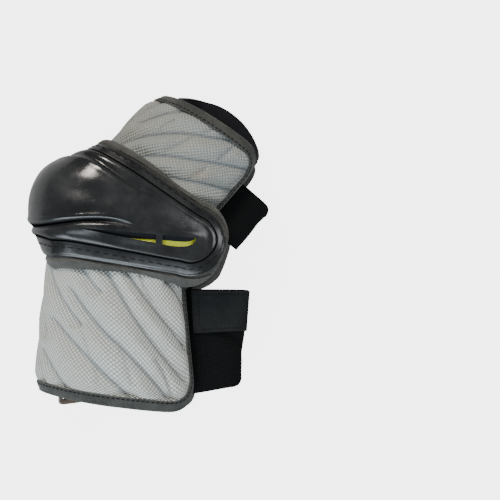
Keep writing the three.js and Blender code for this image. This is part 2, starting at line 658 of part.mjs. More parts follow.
const GREY_MESH = { color: 0xb9bdbd, roughness: 0.9, metalness: 0 };
const GREY_TAPE = { color: 0x4b4d50, roughness: 0.85, metalness: 0 };
const BLACK_SHELL = { color: 0x1c1c1e, roughness: 0.28, metalness: 0 };
const GREY_FOAM = { color: 0x6f7374, roughness: 0.9, metalness: 0 };
const YELLOW_FOAM = { color: 0xd6e132, roughness: 0.75, metalness: 0 };
const BLACK_WEBBING = { color: 0x202124, roughness: 0.8, metalness: 0 };
const BLACK_CLOTH = { color: 0x16171b, roughness: 0.85, metalness: 0 };
const BROWN_PLASTIC = { color: 0x3a2a24, roughness: 0.3, metalness: 0 };

function piece(name, geometry, finish) {
  const mesh = new THREE.Mesh(geometry, new THREE.MeshStandardMaterial(finish));
  mesh.name = name;
  return mesh;
}

function ringPiece(name, geometry, finish) {
  const mesh = piece(name, geometry, finish);
  mesh.applyMatrix4(ringFrame());
  return mesh;
}

const armPad = new THREE.Group();
armPad.add(
  piece('forearm_pad', shellGeometry(FOREARM, FOREARM_GROOVES), GREY_MESH),
  piece('forearm_binding', bindingGeometry(FOREARM, FOREARM_GROOVES), GREY_TAPE),
  piece('upper_arm_pad', shellGeometry(UPPER_ARM, UPPER_ARM_GROOVES), GREY_MESH),
  piece('upper_arm_binding', bindingGeometry(UPPER_ARM, UPPER_ARM_GROOVES), GREY_TAPE),
  piece('elbow_cap', capGeometry(), BLACK_SHELL),
  piece('cap_foam', closed(foamBlock(0)), YELLOW_FOAM),
  piece('elbow_cup', cupGeometry(), GREY_FOAM),
  piece('upper_arm_cuff', cuffGeometry(), BLACK_CLOTH),
  piece('upper_arm_strap', strapGeometry(UPPER_ARM, UPPER_ARM_STRAP), BLACK_WEBBING),
  piece('forearm_strap', strapGeometry(FOREARM, FOREARM_STRAP), BLACK_WEBBING),
  piece('forearm_strap_tab', tabGeometry(), BLACK_WEBBING),
  ringPiece('strap_ring', ringGeometry(), BROWN_PLASTIC),
  ringPiece('ring_keeper', keeperGeometry(), BLACK_WEBBING),
);

const bounds = new THREE.Box3().setFromObject(armPad, true);
const middle = bounds.getCenter(new THREE.Vector3());
armPad.position.set(-middle.x, -middle.y, -bounds.min.z);

const group = new THREE.Group();
group.add(armPad);
export default group;
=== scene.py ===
import bmesh
import bpy
import numpy as np
from mathutils import Matrix, Vector


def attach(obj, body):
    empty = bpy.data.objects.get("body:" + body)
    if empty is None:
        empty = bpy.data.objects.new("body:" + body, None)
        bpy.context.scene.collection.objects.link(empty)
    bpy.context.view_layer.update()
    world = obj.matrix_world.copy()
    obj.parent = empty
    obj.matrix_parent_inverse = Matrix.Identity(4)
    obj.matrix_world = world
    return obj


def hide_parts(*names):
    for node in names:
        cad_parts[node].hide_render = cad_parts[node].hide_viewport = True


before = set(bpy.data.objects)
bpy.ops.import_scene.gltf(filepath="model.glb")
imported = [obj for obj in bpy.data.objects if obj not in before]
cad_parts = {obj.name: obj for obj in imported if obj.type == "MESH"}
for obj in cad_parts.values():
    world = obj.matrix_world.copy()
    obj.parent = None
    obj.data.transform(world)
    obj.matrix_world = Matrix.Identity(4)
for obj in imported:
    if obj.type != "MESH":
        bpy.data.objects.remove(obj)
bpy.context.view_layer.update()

BEND_IN_FRAME = np.array([-25.909, 5.169, 0.0])
HALF_TURN = np.pi
QUARTER = np.pi / 2

# Sizes that the solids have too
BEND = 40
LINE_HEIGHT = 57
FOREARM = dict(
    heading=-90, crook_side=1, shift=1.4,
    side_at_bend=57, side_at_end=71, rise_at_bend=38, rise_at_end=47.5,
    end_height=39, level=46, near=18, near_slant=14, far=121, far_slant=17,
    corner=27, opening=46,
)
UPPER_ARM = dict(
    heading=90 - BEND, crook_side=-1, shift=0,
    side_at_bend=57, side_at_end=56, rise_at_bend=38, rise_at_end=47,
    end_height=39.5, level=46, near=44, near_slant=8, far=114, far_slant=13,
    corner=24, opening=50,
)
OVAL_POWER = 2.2
SINK_POWER = 1.3
SLANT_REACH = 0.87
GAP = 0.35
PAD_THICKNESS = 10
PAD_EDGE_DROP = 4.5
PAD_EDGE_ROLL = 14
BINDING_WIDTH = 8.5
BINDING_THICKNESS = 1.2
BINDING_LAP = BINDING_THICKNESS + GAP
BINDING_TURN = 0.24
LINING_INSET = PAD_THICKNESS + BINDING_LAP + GAP
SHELL_PUFF = 1.1

CAP_LEAN = np.radians(159.5)
CAP_SHIFT = 16.5
CAP_POINT = 82
CAP_TIP = 87
CAP_RISE = LINE_HEIGHT
CAP_BEND_DEPTH = 60
CAP_TIP_DIP = 15
CAP_DIP_POWER = 2.2
CAP_HALF_WIDTH = 49
CAP_TAPER = 136
CAP_TIP_HALF_WIDTH = 27.5
CAP_TIP_ROUND = 26
CAP_TIP_FLAT = 4
CAP_WALL = 2.8
CAP_FLANGE = 10.5
CAP_FLANGE_STEP = 3
CAP_SEAM = 5.2
CAP_WING_CROWN = 7
CAP_ELBOW_CROWN = 28
CAP_CROWN_REACH = 110
CAP_BEND_END = CAP_POINT - CAP_BEND_DEPTH
CAP_WING = CAP_BEND_END + CAP_TIP
CAP_HALF_LENGTH = CAP_WING + CAP_BEND_DEPTH * QUARTER
PANEL_STEP = 2.4
PANEL_BELOW = (3.5, 29, -15, 75)
PANEL_ABOVE = (19.5, 33, -18, 60)
PANEL_RUN_OUT = (-30, 20)
SLOT_START = np.array([24, -22])
SLOT_END = np.array([-63, 3])
SLOT_WIDTH = 8
SLOT_BRIDGE = 5
SLOT_BRIDGE_AT = 0.69
CUP_RIM = 7
CUP_TIP_RIM = 3
CUP_WING_DEPTH = 15
CUP_ELBOW_DEPTH = 24
CUP_LOWER_RIM_WIDER = 2
CUP_ROLL = 4.2
CUP_ROLL_REACH = 5.5
CUP_RIM_SWELL = 2.4
CUP_PUFF = 0.5
FOAM_THICKNESS = 2
FOAM_MARGIN = 5

CUFF_THICKNESS = 5
CUFF_START = 106
CUFF_TOP_END = 118
CUFF_BOTTOM_END = 148
CUFF_SLANT = 1.9

STRAP_THICKNESS = 2
STRAP_SQUARENESS = 2.5
STRAP_SEAM = np.radians(44)
STRAP_LOOP = 16 / 24
FOREARM_STRAP = dict(start=41, end=128, end_at_fold=120, fold=104, fold_at_end=97, sag=3)
UPPER_ARM_STRAP = dict(start=56, end=101, end_at_fold=101, fold=78, fold_at_end=78, sag=2)
TAB_THICKNESS = 1.6
TAB_LENGTH = 36
TAB_MARGIN = 1
TAB_FROM = 0.07
TAB_TO = 0.6
RING_WIDTH, RING_DEPTH, RING_BAR, RING_THICKNESS = 25, 14, 3.8, 2.6
RING_SET_BACK = 4.7
RING_ANGLE = np.radians(218)
KEEPER_WIDTH, KEEPER_THICKNESS, KEEPER_LENGTH = 15, 1.3, 20

# The cap's relief, as height, middle and width of each soft hump
CAP_SWELL = (3.6, 84, 46)
RIDGE_CREST = (0.9, -1.6, 2.2)
RIDGE_HOLLOW = (1.1, 2.6, 1.8)
RIDGE_BULGE = (1.1, 9, 4.4)
SLOT_HOLLOW = (0.8, 12, 5)
SLOT_BROW = (0.7, -3, 3)
FLANGE_BROW = (0.4, 2.6, 2)
UPPER_RIDGE_SHARE = 0.35
CAP_DRAW_IN = 8
CAP_LOWER_CROWN_LESS = 5
FLANGE_WIDER = 1.5
FLANGE_NARROWER = 3
FLANGE_RIM = 0.7
PANEL_HOLLOW = 0.9
CAP_INNER_ROOM = 6

# Each row's stitches, as length, gap and radius
TAPE_STITCH = (3.2, 0.7, 0.55)
CAP_STITCH = (5.0, 2.0, 0.5)
CUFF_STITCH = (2.6, 1.0, 0.3)
TAB_STITCH = (2.4, 0.9, 0.36)
TAPE_PUFF = 0.45

# Columns and rows of the pieces' grids
SHELL_GRID = (260, 140)
CAP_GRID = (260, 150)
CAP_FOOT = 0.72
FOAM_GRID = (120, 24)
CUP_GRID = (200, 60)
BAND_GRID = (180, 56)
TAB_GRID = (60, 54)
TAPE_STEPS = 330

# The camera and the light, in metres, degrees and watts
PHOTO_PIXELS = 500
PHOTO_FOCAL_PIXELS = 1026.34
PHOTO_ELEVATION = 84
PHOTO_DISTANCE = 0.9
PHOTO_MIDDLE = (107.73, -2.24, 0)
LIT_MIDDLE = (-0.03, 0.0, 0.05)
# Each light's name, place, size, power and tint
LIGHTS = [
    ("window", (-0.55, -1.2, 0.8), (1.7, 0.9), 33, (0.82, 0.92, 1.0)),
    ("lamp", (-0.4, 0.95, 1.0), (0.45, 0.32), 15, (1.0, 0.93, 0.84)),
    ("fill", (1.1, 0.3, 1.1), (0.8, 0.8), 9, (0.96, 0.98, 1.0)),
]
SKY_STRENGTH = 0.28
FLOOR_GLOW = 4.2

# The width of the painted shade along each crease's bottom
CREASE_SHADE_WIDTH = 1.5
# The sewn creases, as depth, reach and three places (round the shell, along the arm)
FOREARM_CREASES = [
    (3.8, 8.8, (50, 40), (83, 82), (122, 134)),
    (3.8, 8.8, (76, 20), (102, 75), (136, 118)),
    (3.6, 8, (88, 24), (113, 61), (142, 93)),
    (3.8, 8.8, (34, 64), (68, 96), (96, 134)),
    (3.1, 7.2, (120, 34), (132, 46), (148, 64)),
    (3.1, 7.2, (20, 88), (40, 105), (60, 132)),
    (2.9, 7.2, (57, 18), (66, 33), (77, 46)),
    (3.3, 8, (18, 22), (44, 50), (64, 72)),
    (2.9, 7.2, (0, 30), (14, 56), (30, 80)),
    (2.9, 7.2, (0, 68), (16, 94), (32, 126)),
    (1.9, 4.8, (100, 30), (104, 42), (110, 54)),
    (2.1, 4.8, (109, 96), (116, 112), (121, 132)),
    (1.5, 4, (84, 84), (90, 100), (93, 118)),
    (1.4, 4, (64, 74), (70, 96), (77, 120)),
]
UPPER_ARM_CREASES = [
    (3.4, 8, (22, 50), (64, 94), (107, 126)),
    (3.4, 8, (48, 54), (89, 90), (132, 114)),
    (3.4, 8, (74, 59), (109, 81), (138, 91)),
    (2.9, 7.2, (30, 82), (48, 104), (66, 124)),
    (2.9, 7.2, (4, 58), (20, 90), (36, 122)),
    (2.4, 6.4, (102, 58), (118, 68), (138, 76)),
    (2.1, 4.8, (67, 77), (72, 90), (75, 103)),
    (2.1, 4.8, (76, 104), (79, 112), (81, 122)),
    (2.1, 4.8, (98, 98), (99, 108), (101, 122)),
    (1.9, 4.8, (90, 72), (93, 80), (95, 90)),
    (1.9, 4.8, (120, 90), (123, 97), (126, 108)),
    (1.7, 4.8, (53, 88), (54, 96), (57, 103)),
]


def lerp(a, b, t):
    return a + (b - a) * t


def share(start, end, x):
    return np.clip((x - start) / (end - start), 0, 1)


def smooth(t):
    return t * t * (3 - 2 * t)


def ease(start, end, x):
    return smooth(share(start, end, x))


def hump(x, middle, width):
    """A soft hump, 1 at its middle."""
    return np.exp(-(((x - middle) / width) ** 2))


def relief(x, form):
    height, middle, width = form
    return height * hump(x, middle, width)


def bent(x, power):
    """A power of x that keeps its sign."""
    return np.sign(x) * np.abs(x) ** power


def in_frame(points):
    """Points from the bend, in millimetres, as points in the frame, in metres."""
    return (np.asarray(points, float) + BEND_IN_FRAME) * 0.001


# The arms' ovals
def arm_length(arm):
    return arm["far"] + arm["far_slant"]


def growth(arm, along):
    return share(arm["level"], arm_length(arm), along) ** SINK_POWER


def half_rise(arm, along):
    return lerp(arm["rise_at_bend"], arm["rise_at_end"], growth(arm, along))


def line_height(arm, along):
    return lerp(LINE_HEIGHT, arm["end_height"], growth(arm, along))


def arm_point(arm, along, side, height):
    heading = np.radians(arm["heading"])
    across = (side + arm["shift"]) * arm["crook_side"]
    x = along * np.cos(heading) - across * np.sin(heading)
    y = along * np.sin(heading) + across * np.cos(heading)
    return np.stack(np.broadcast_arrays(x, y, height), -1)


def oval_spot(arm, angle, along, inset, lift=None):
    half_side = lerp(arm["side_at_bend"], arm["side_at_end"], along / arm_length(arm))
    side = (half_side - inset) * bent(np.cos(angle), 2 / OVAL_POWER)
    rise = (half_rise(arm, along) - inset) * bent(np.sin(angle), 2 / OVAL_POWER)
    return side, np.maximum(line_height(arm, along) + rise, inset if lift is None else lift)


def oval_point(arm, angle, along, inset, lift=None):
    return arm_point(arm, along, *oval_spot(arm, angle, along, inset, lift))


# The shells' flat cut
def cut_radius(arm):
    sides = arm["side_at_bend"] + arm["side_at_end"]
    return (sides + arm["rise_at_bend"] + arm["rise_at_end"]) / 4


def cut_reach(arm):
    return cut_radius(arm) * (HALF_TURN - np.radians(arm["opening"] / 2))


def cut_point(arm, around, along, inset, lift=None):
    return oval_point(arm, HALF_TURN - around / cut_radius(arm), along, inset, lift)


def near_end(arm, around):
    return arm["near"] + arm["near_slant"] * (np.abs(around) / cut_reach(arm))


def square_end(arm, around):
    slant = ease(0, SLANT_REACH, np.abs(around) / cut_reach(arm))
    return arm["far"] + arm["far_slant"] * slant


def far_end(arm, around):
    corner = arm["corner"]
    past = np.maximum(0, np.abs(around) - cut_reach(arm) + corner)
    return square_end(arm, around) - corner + np.sqrt(np.maximum(0, corner**2 - past**2))


def edge_distance(arm, around, along):
    corner = arm["corner"]
    from_side = cut_reach(arm) - np.abs(around)
    from_end = square_end(arm, around) - along
    round_corner = corner - np.hypot(corner - from_side, corner - from_end)
    square = (from_side >= corner) | (from_end >= corner)
    return np.where(square, np.minimum(from_side, from_end), round_corner)


def edge_drop(edge):
    bound = lerp(PAD_EDGE_DROP, BINDING_LAP, np.maximum(edge, 0) / BINDING_WIDTH)
    free = BINDING_LAP * (1 - share(BINDING_WIDTH, PAD_EDGE_ROLL, edge))
    return np.where(edge < BINDING_WIDTH, bound, free)


def creases_at(creases, around, along):
    """How far the sewn creases pull a shell in, how much painted shade lies along their bottoms,
    and how near one is.
    """
    depth, crease_shade = np.zeros_like(around), np.zeros_like(around)
    nearest_of_all = np.full_like(around, 1e9)
    for deep, reach, *marks in creases:
        start, middle, end = (np.array(mark, float) for mark in marks)
        t = np.linspace(0, 1, 17)[:, None]
        bow = 2 * middle - (start + end) / 2
        line = (1 - t) ** 2 * start + 2 * t * (1 - t) * bow + t**2 * end
        nearest = np.full_like(around, 1e9)
        place = np.zeros_like(around)
        for k in range(16):
            run = line[k + 1] - line[k]
            x, y = around - line[k][0], along - line[k][1]
            part = np.clip((x * run[0] + y * run[1]) / (run @ run), 0, 1)
            distance = np.hypot(x - part * run[0], y - part * run[1])
            place = np.where(distance < nearest, (k + part) / 16, place)
            nearest = np.minimum(nearest, distance)
        fade = smooth(np.clip(np.minimum(place, 1 - place) * 6 + 0.45, 0, 1))
        depth = np.maximum(depth, deep * fade * (1 - share(0, reach, nearest)) ** 1.5)
        crease_shade = np.maximum(crease_shade, fade * hump(nearest, 0, CREASE_SHADE_WIDTH) * min(1, deep / 3.6))
        nearest_of_all = np.minimum(nearest_of_all, nearest + 14 * (1 - fade))
    return depth, crease_shade, nearest_of_all


# The cap's stations: its line runs from the lower wing's tip round the elbow to the upper one's
def cap_station(side, from_tip, overrun=0):
    from_tip = np.asarray(from_tip, float)
    run = np.maximum(0, CAP_WING - from_tip)
    turn = QUARTER - np.maximum(0, from_tip - CAP_WING) / CAP_BEND_DEPTH
    dip = CAP_TIP_DIP * (run / CAP_WING) ** CAP_DIP_POWER
    slope = CAP_DIP_POWER * dip / np.maximum(run, 1e-6)
    along = CAP_BEND_END + CAP_BEND_DEPTH * np.cos(turn) - run - overrun
    rise = side * (CAP_RISE * np.sin(turn) - dip - slope * overrun)
    out_along = np.where(run > 0, -slope, np.cos(turn))
    out_rise = np.where(run > 0, 1, np.sin(turn))
    length = np.hypot(out_along, out_rise)
    return dict(
        from_tip=from_tip, along=along, rise=rise,
        out_along=out_along / length, out_rise=side * out_rise / length,
    )


def cap_half_width(from_tip):
    back = share(CAP_TIP_ROUND, 0, from_tip)
    tip = lerp(CAP_TIP_FLAT, CAP_TIP_HALF_WIDTH, np.sqrt(1 - back * back))
    return lerp(tip, CAP_HALF_WIDTH, share(CAP_TIP_ROUND, CAP_TAPER, from_tip))


def cap_edge_distance(from_tip, across):
    straight = cap_half_width(from_tip) - np.abs(across)
    tip = CAP_TIP_HALF_WIDTH - np.hypot(CAP_TIP_ROUND - from_tip, across)
    return np.where(from_tip >= CAP_TIP_ROUND, straight, tip)


def cap_curve(station, across):
    from_tip = station["from_tip"]
    full = ease(CAP_TIP, CAP_TIP + CAP_CROWN_REACH, from_tip)
    half = cap_half_width(np.maximum(from_tip, CAP_TIP_ROUND))
    crown = CAP_ELBOW_CROWN - CAP_LOWER_CROWN_LESS * share(0, -30, across)
    return lerp(CAP_WING_CROWN, crown, full) * (across / half) ** 2


def cap_shoulder(from_tip, across):
    """The upper edge swells beside the elbow and draws in at its point."""
    swell = relief(from_tip, CAP_SWELL)
    return ease(10, CAP_HALF_WIDTH, across) * (swell - CAP_DRAW_IN * ease(112, 185, from_tip))


def cap_plane(along, across, height):
    out = across + CAP_SHIFT
    x = along * np.cos(CAP_LEAN) + out * np.sin(CAP_LEAN)
    y = along * np.sin(CAP_LEAN) - out * np.cos(CAP_LEAN)
    return np.stack(np.broadcast_arrays(x, y, height), -1)


def cap_spot(station, across, drop):
    along = station["along"] - drop * station["out_along"]
    height = LINE_HEIGHT + station["rise"] - drop * station["out_rise"]
    return cap_plane(along, across + cap_shoulder(station["from_tip"], across), height)


def cap_flange(from_tip, across):
    """The flange is narrower along the cap's upper edge."""
    widest = lerp(CAP_FLANGE, CAP_FLANGE + FLANGE_WIDER, share(40, 120, from_tip))
    return lerp(widest, CAP_FLANGE - FLANGE_NARROWER, ease(-12, 12, across))


def panel_reach(panel, along):
    at_tip, at_elbow, start, end = panel
    return lerp(at_tip, at_elbow, ease(start, end, along))


def slot_distance(along, across):
    """How far below the slots' upper edge a place of the cap lies, and its share of their run."""
    run = SLOT_END - SLOT_START
    length = np.hypot(*run)
    x, y = along - SLOT_START[0], across - SLOT_START[1]
    # the slots' line runs towards the wing's tip, so that below it is on its left
    return (y * run[0] - x * run[1]) / length, (x * run[0] + y * run[1]) / length**2


def cap_drop(station, across):
    """The cap's outside: a raised panel between two soft ridges, hollowed sides and a flange."""
    along, from_tip = station["along"], station["from_tip"]
    edge = cap_edge_distance(from_tip, across)
    fade = ease(*PANEL_RUN_OUT, along)
    below = panel_reach(PANEL_BELOW, along)
    above = panel_reach(PANEL_ABOVE, along)
    off_panel = ease(-below, -below - PANEL_STEP, across)
    off_panel = off_panel + ease(above, above + PANEL_STEP, across)
    drop = cap_curve(station, across) + PANEL_STEP * lerp(1, off_panel, fade)
    for ridge, sign, size in ((-below, -1, 1), (above, 1, UPPER_RIDGE_SHARE)):
        past = (across - ridge) * sign
        raised = relief(past, RIDGE_CREST) + relief(past, RIDGE_BULGE)
        drop += fade * size * (relief(past, RIDGE_HOLLOW) - raised)
    middle = (above - below) / 2
    drop += PANEL_HOLLOW * fade * ease(12, 0, np.abs(across - middle)) * share(90, 30, along)
    under, place = slot_distance(along, across)
    in_slots = ease(-0.12, 0.1, place) * ease(1.1, 0.95, place)
    drop += in_slots * (relief(under, SLOT_HOLLOW) - relief(under, SLOT_BROW))
    inboard = edge - cap_flange(from_tip, across)
    drop += CAP_FLANGE_STEP * ease(0.9, -0.9, inboard) - relief(inboard, FLANGE_BROW)
    return drop + FLANGE_RIM * ease(2.0, 0.2, edge)


def cap_groove_shade(station, across):
    """How much painted shade a place in or beside one of the cap's grooves gets, from 0 to 1."""
    along, from_tip = station["along"], station["from_tip"]
    inboard = cap_edge_distance(from_tip, across) - cap_flange(from_tip, across)
    fade = ease(*PANEL_RUN_OUT, along)
    below = -across - panel_reach(PANEL_BELOW, along)
    above = across - panel_reach(PANEL_ABOVE, along)
    grooves = [
        hump(inboard, -0.5, 0.9),
        0.3 * hump(inboard, CAP_SEAM - CAP_FLANGE, 0.6),
        fade * hump(below, 1.9, 1.1),
        UPPER_RIDGE_SHARE * fade * hump(above, 1.6, 0.9),
    ]
    return np.maximum.reduce(grooves)


def cap_inside(side, from_tip, across, inset, overrun=0):
    station = cap_station(side, from_tip, overrun)
    edge = cap_edge_distance(station["from_tip"], across)
    on_flange = share(CAP_FLANGE + FOAM_MARGIN, CAP_FLANGE, edge)
    drop = cap_curve(station, across) + PANEL_STEP + CAP_WALL + CAP_FLANGE_STEP * on_flange
    return cap_spot(station, across, np.minimum(drop + inset, CAP_BEND_DEPTH - CAP_INNER_ROOM))


# Making meshes
def new_object(name, data):
    thing = bpy.data.objects.new(name, data)
    bpy.context.scene.collection.objects.link(thing)
    return thing


def new_grid(columns, rows):
    bm = bmesh.new()
    bmesh.ops.create_grid(bm, x_segments=columns, y_segments=rows, size=0.5)
    return bm


def map_cloth(bm):
    cloth = bm.loops.layers.uv.new("cloth")
    for face in bm.faces:
        for loop in face.loops:
            loop[cloth].uv = (loop.vert.co.x + 0.5, loop.vert.co.y + 0.5)


def thicken(bm, height):
    """Raises a copy of all faces, with walls down to the first ones."""
    grown = bmesh.ops.extrude_face_region(bm, geom=bm.faces[:], use_keep_orig=True)
    raised = [part for part in grown["geom"] if isinstance(part, bmesh.types.BMVert)]
    bmesh.ops.translate(bm, verts=raised, vec=(0, 0, height))


def close_ends(bm):
    bmesh.ops.remove_doubles(bm, verts=bm.verts, dist=2e-6)
    bmesh.ops.holes_fill(bm, edges=[edge for edge in bm.edges if edge.is_boundary], sides=0)
    face_out(bm)


def grid_block(columns, rows, place, outside=0, inside=0):
    """A closed slab: place(u, v, w) gives each corner, with w 0 inside and 1 outside."""
    bm = new_grid(columns, rows)
    thicken(bm, 1)
    map_cloth(bm)
    for face in bm.faces:
        on_top = all(corner.co.z > 0.5 for corner in face.verts)
        face.material_index = outside if on_top else inside
    settle(bm, lambda co: place(co[:, 0] + 0.5, co[:, 1] + 0.5, co[:, 2]))
    return bm


def ring_block(columns, rows, place):
    """A closed sweep: u runs along it, v round its section. Its ends join, or are capped."""
    bm = new_grid(columns, rows)
    map_cloth(bm)
    settle(bm, lambda co: place(co[:, 0] + 0.5, co[:, 1] + 0.5))
    close_ends(bm)
    return bm


def settle(bm, place):
    """Moves every corner to its place, with the faces pointing out."""
    co = np.array([corner.co for corner in bm.verts])
    for corner, spot in zip(bm.verts, in_frame(place(co))):
        corner.co = spot
    face_out(bm)


def face_out(bm):
    bmesh.ops.recalc_face_normals(bm, faces=bm.faces)
    if bm.calc_volume(signed=True) < 0:
        bmesh.ops.reverse_faces(bm, faces=bm.faces)


def scale_cloth(bm, width, length):
    """Gives the cloth's map its real size, in metres."""
    cloth = bm.loops.layers.uv["cloth"]
    for face in bm.faces:
        for loop in face.loops:
            loop[cloth].uv = (loop[cloth].uv.x * width * 0.001, loop[cloth].uv.y * length * 0.001)


def mesh_of(bm, name):
    mesh = bpy.data.meshes.new(name)
    bm.to_mesh(mesh)
    bm.free()
    return mesh


def add_piece(bm, name, materials, nodes=(), crisp=50):
    """A finished mesh as a piece that rides on the pad and stands for its solids."""
    for face in bm.faces:
        face.smooth = True
    mesh = mesh_of(bm, name)
    mesh.set_sharp_from_angle(angle=np.radians(crisp))
    for material in materials:
        mesh.materials.append(material)
    piece = new_object(name, mesh)
    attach(piece, "root")
    if nodes:
        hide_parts(*nodes)
    return piece


def round_edges(piece, width, segments=3, angle=35):
    bevel = piece.modifiers.new("round_edges", "BEVEL")
    bevel.width = width * 0.001
    bevel.segments = segments
    bevel.limit_method = "ANGLE"
    bevel.angle_limit = np.radians(angle)
    bevel.harden_normals = False


def stitch_lines(name, lines, stitch):
    """Rows of single stitches along lines of points, as one mesh."""
    length, gap, radius = stitch
    bm = bmesh.new()
    for line in lines:
        points = in_frame(line)
        steps = np.linalg.norm(np.diff(points, axis=0), axis=1)
        reach = np.concatenate([[0], np.cumsum(steps)])
        pitch = (length + gap) * 0.001
        for k in range(int(reach[-1] / pitch)):
            ends = [k * pitch, k * pitch + length * 0.001]
            a, b = (Vector([np.interp(s, reach, points[:, i]) for i in range(3)]) for s in ends)
            if (b - a).length < 1e-5:
                continue
            turn = (b - a).to_track_quat("Z", "Y").to_matrix().to_4x4()
            size = Matrix.Diagonal((radius * 0.001, radius * 0.001, (b - a).length / 2, 1))
            where = Matrix.Translation((a + b) / 2) @ turn @ size
            bmesh.ops.create_uvsphere(bm, u_segments=6, v_segments=5, radius=1, matrix=where)
    add_piece(bm, name, [BLACK_THREAD], crisp=180)


def cut_away(piece, cutters):
    """Cuts other meshes out of a piece and keeps the result as its mesh."""
    for bm in cutters:
        mesh = mesh_of(bm, "cutter")
        cutter = new_object("cutter", mesh)
        cut = piece.modifiers.new("cut", "BOOLEAN")
        cut.operation = "DIFFERENCE"
        cut.solver = "MANIFOLD"
        cut.object = cutter
        bpy.context.view_layer.update()
        result = bpy.data.meshes.new_from_object(
            piece.evaluated_get(bpy.context.evaluated_depsgraph_get())
        )
        piece.modifiers.remove(cut)
        old = piece.data
        piece.data = result
        bpy.data.objects.remove(cutter)
        bpy.data.meshes.remove(mesh)
        bpy.data.meshes.remove(old)
    piece.data.name = piece.name


def rework(piece, change, crisp):
    """Changes a finished piece's mesh and smooths it again."""
    bm = bmesh.new()
    bm.from_mesh(piece.data)
    change(bm)
    for face in bm.faces:
        face.smooth = True
    bm.to_mesh(piece.data)
    bm.free()
    piece.data.set_sharp_from_angle(angle=np.radians(crisp))


# Materials
def link(tree, source, socket):
    if isinstance(source, bpy.types.NodeSocket):
        tree.links.new(source, socket)
    else:
        socket.default_value = source


def math(tree, operation, a, b=0.0):
    node = tree.nodes.new("ShaderNodeMath")
    node.operation = operation
    link(tree, a, node.inputs[0])
    link(tree, b, node.inputs[1])
    return node.outputs[0]


def mix(tree, factor, a, b):
    node = tree.nodes.new("ShaderNodeMix")
    node.data_type = "RGBA"
    link(tree, factor, node.inputs[0])
    link(tree, a, node.inputs[6])
    link(tree, b, node.inputs[7])
    return node.outputs[2]


def remap(tree, value, low, high, to_low=0.0, to_high=1.0):
    node = tree.nodes.new("ShaderNodeMapRange")
    for socket, number in zip(node.inputs, (value, low, high, to_low, to_high)):
        link(tree, number, socket)
    return node.outputs[0]


def noise(tree, where, scale, detail=3.0, roughness=0.5):
    node = tree.nodes.new("ShaderNodeTexNoise")
    link(tree, where, node.inputs["Vector"])
    node.inputs["Scale"].default_value = scale
    node.inputs["Detail"].default_value = detail
    node.inputs["Roughness"].default_value = roughness
    return node.outputs[0]


def grow(tree, vector, factors):
    node = tree.nodes.new("ShaderNodeVectorMath")
    node.operation = "MULTIPLY"
    link(tree, vector, node.inputs[0])
    node.inputs[1].default_value = factors
    return node.outputs[0]


def bump(tree, height, distance, strength=1.0, normal=None):
    node = tree.nodes.new("ShaderNodeBump")
    node.inputs["Strength"].default_value = strength
    node.inputs["Distance"].default_value = distance
    link(tree, height, node.inputs["Height"])
    if normal is not None:
        tree.links.new(normal, node.inputs["Normal"])
    return node.outputs[0]


def new_group(name, inputs, outputs):
    tree = bpy.data.node_groups.new(name, "ShaderNodeTree")
    for label, kind, value in inputs:
        socket = tree.interface.new_socket(name=label, in_out="INPUT", socket_type=kind)
        if value is not None:
            socket.default_value = value
    for label, kind in outputs:
        tree.interface.new_socket(name=label, in_out="OUTPUT", socket_type=kind)
    return tree, tree.nodes.new("NodeGroupInput").outputs, tree.nodes.new("NodeGroupOutput").inputs


def use_group(tree, group, **values):
    node = tree.nodes.new("ShaderNodeGroup")
    node.node_tree = group
    for label, value in values.items():
        link(tree, value, node.inputs[label])
    return node.outputs


def weave_group():
    """Threads that pass over and under each other, as a height from 0 to 1."""
    tree, given, out = new_group(
        "woven_threads",
        [("Cloth", "NodeSocketVector", None), ("Pitch", "NodeSocketFloat", 0.002)],
        [("Height", "NodeSocketFloat")],
    )
    split = tree.nodes.new("ShaderNodeSeparateXYZ")
    tree.links.new(given["Cloth"], split.inputs[0])
    turns = math(tree, "DIVIDE", 2 * np.pi, given["Pitch"])
    waves = [math(tree, "SINE", math(tree, "MULTIPLY", split.outputs[k], turns)) for k in (0, 1)]
    over = math(tree, "MULTIPLY", waves[0], waves[1])
    height = math(tree, "MULTIPLY_ADD", over, 0.5)
    height.node.inputs[2].default_value = 0.5
    link(tree, height, out["Height"])
    return tree


def fuzz_group():
    """Short fibres on cloth, as a height from 0 to 1."""
    tree, given, out = new_group(
        "fibre_fuzz",
        [("Place", "NodeSocketVector", None)],
        [("Height", "NodeSocketFloat"), ("Patches", "NodeSocketFloat")],
    )
    fine = noise(tree, given["Place"], 1100, 5, 0.75)
    tree.links.new(fine, out["Height"])
    tree.links.new(noise(tree, given["Place"], 70, 5, 0.65), out["Patches"])
    return tree


def dust_group():
    """Where dust and dirt settle, as a mask."""
    tree, given, out = new_group(
        "settled_dust",
        [("Place", "NodeSocketVector", None), ("Amount", "NodeSocketFloat", 0.3)],
        [("Mask", "NodeSocketFloat")],
    )
    broad = noise(tree, given["Place"], 24, 6, 0.62)
    mask = remap(tree, broad, 0.45, 0.72)
    tree.links.new(math(tree, "MULTIPLY", mask, given["Amount"]), out["Mask"])
    return tree


WEAVE = weave_group()
FUZZ = fuzz_group()
DUST = dust_group()


def new_material(name):
    material = bpy.data.materials.new(name)
    material.use_nodes = True
    tree = material.node_tree
    return material, tree, tree.nodes.new("ShaderNodeTexCoord").outputs["Object"]


def cloth_map(tree):
    node = tree.nodes.new("ShaderNodeUVMap")
    node.uv_map = "cloth"
    return node.outputs[0]


def finish(tree, looks):
    """Fills the shader's inputs, with values or with what other nodes put out."""
    shader = tree.nodes["Principled BSDF"]
    for label, value in looks.items():
        link(tree, value, shader.inputs[label])


def own_value(tree, name):
    node = tree.nodes.new("ShaderNodeAttribute")
    node.attribute_name = name
    return node.outputs["Fac"]


def colour(r, g, b):
    """A colour given as it looks on screen, from 0 to 255."""
    parts = [x / 255 for x in (r, g, b)]
    return (*[x / 12.92 if x < 0.04 else ((x + 0.055) / 1.055) ** 2.4 for x in parts], 1)


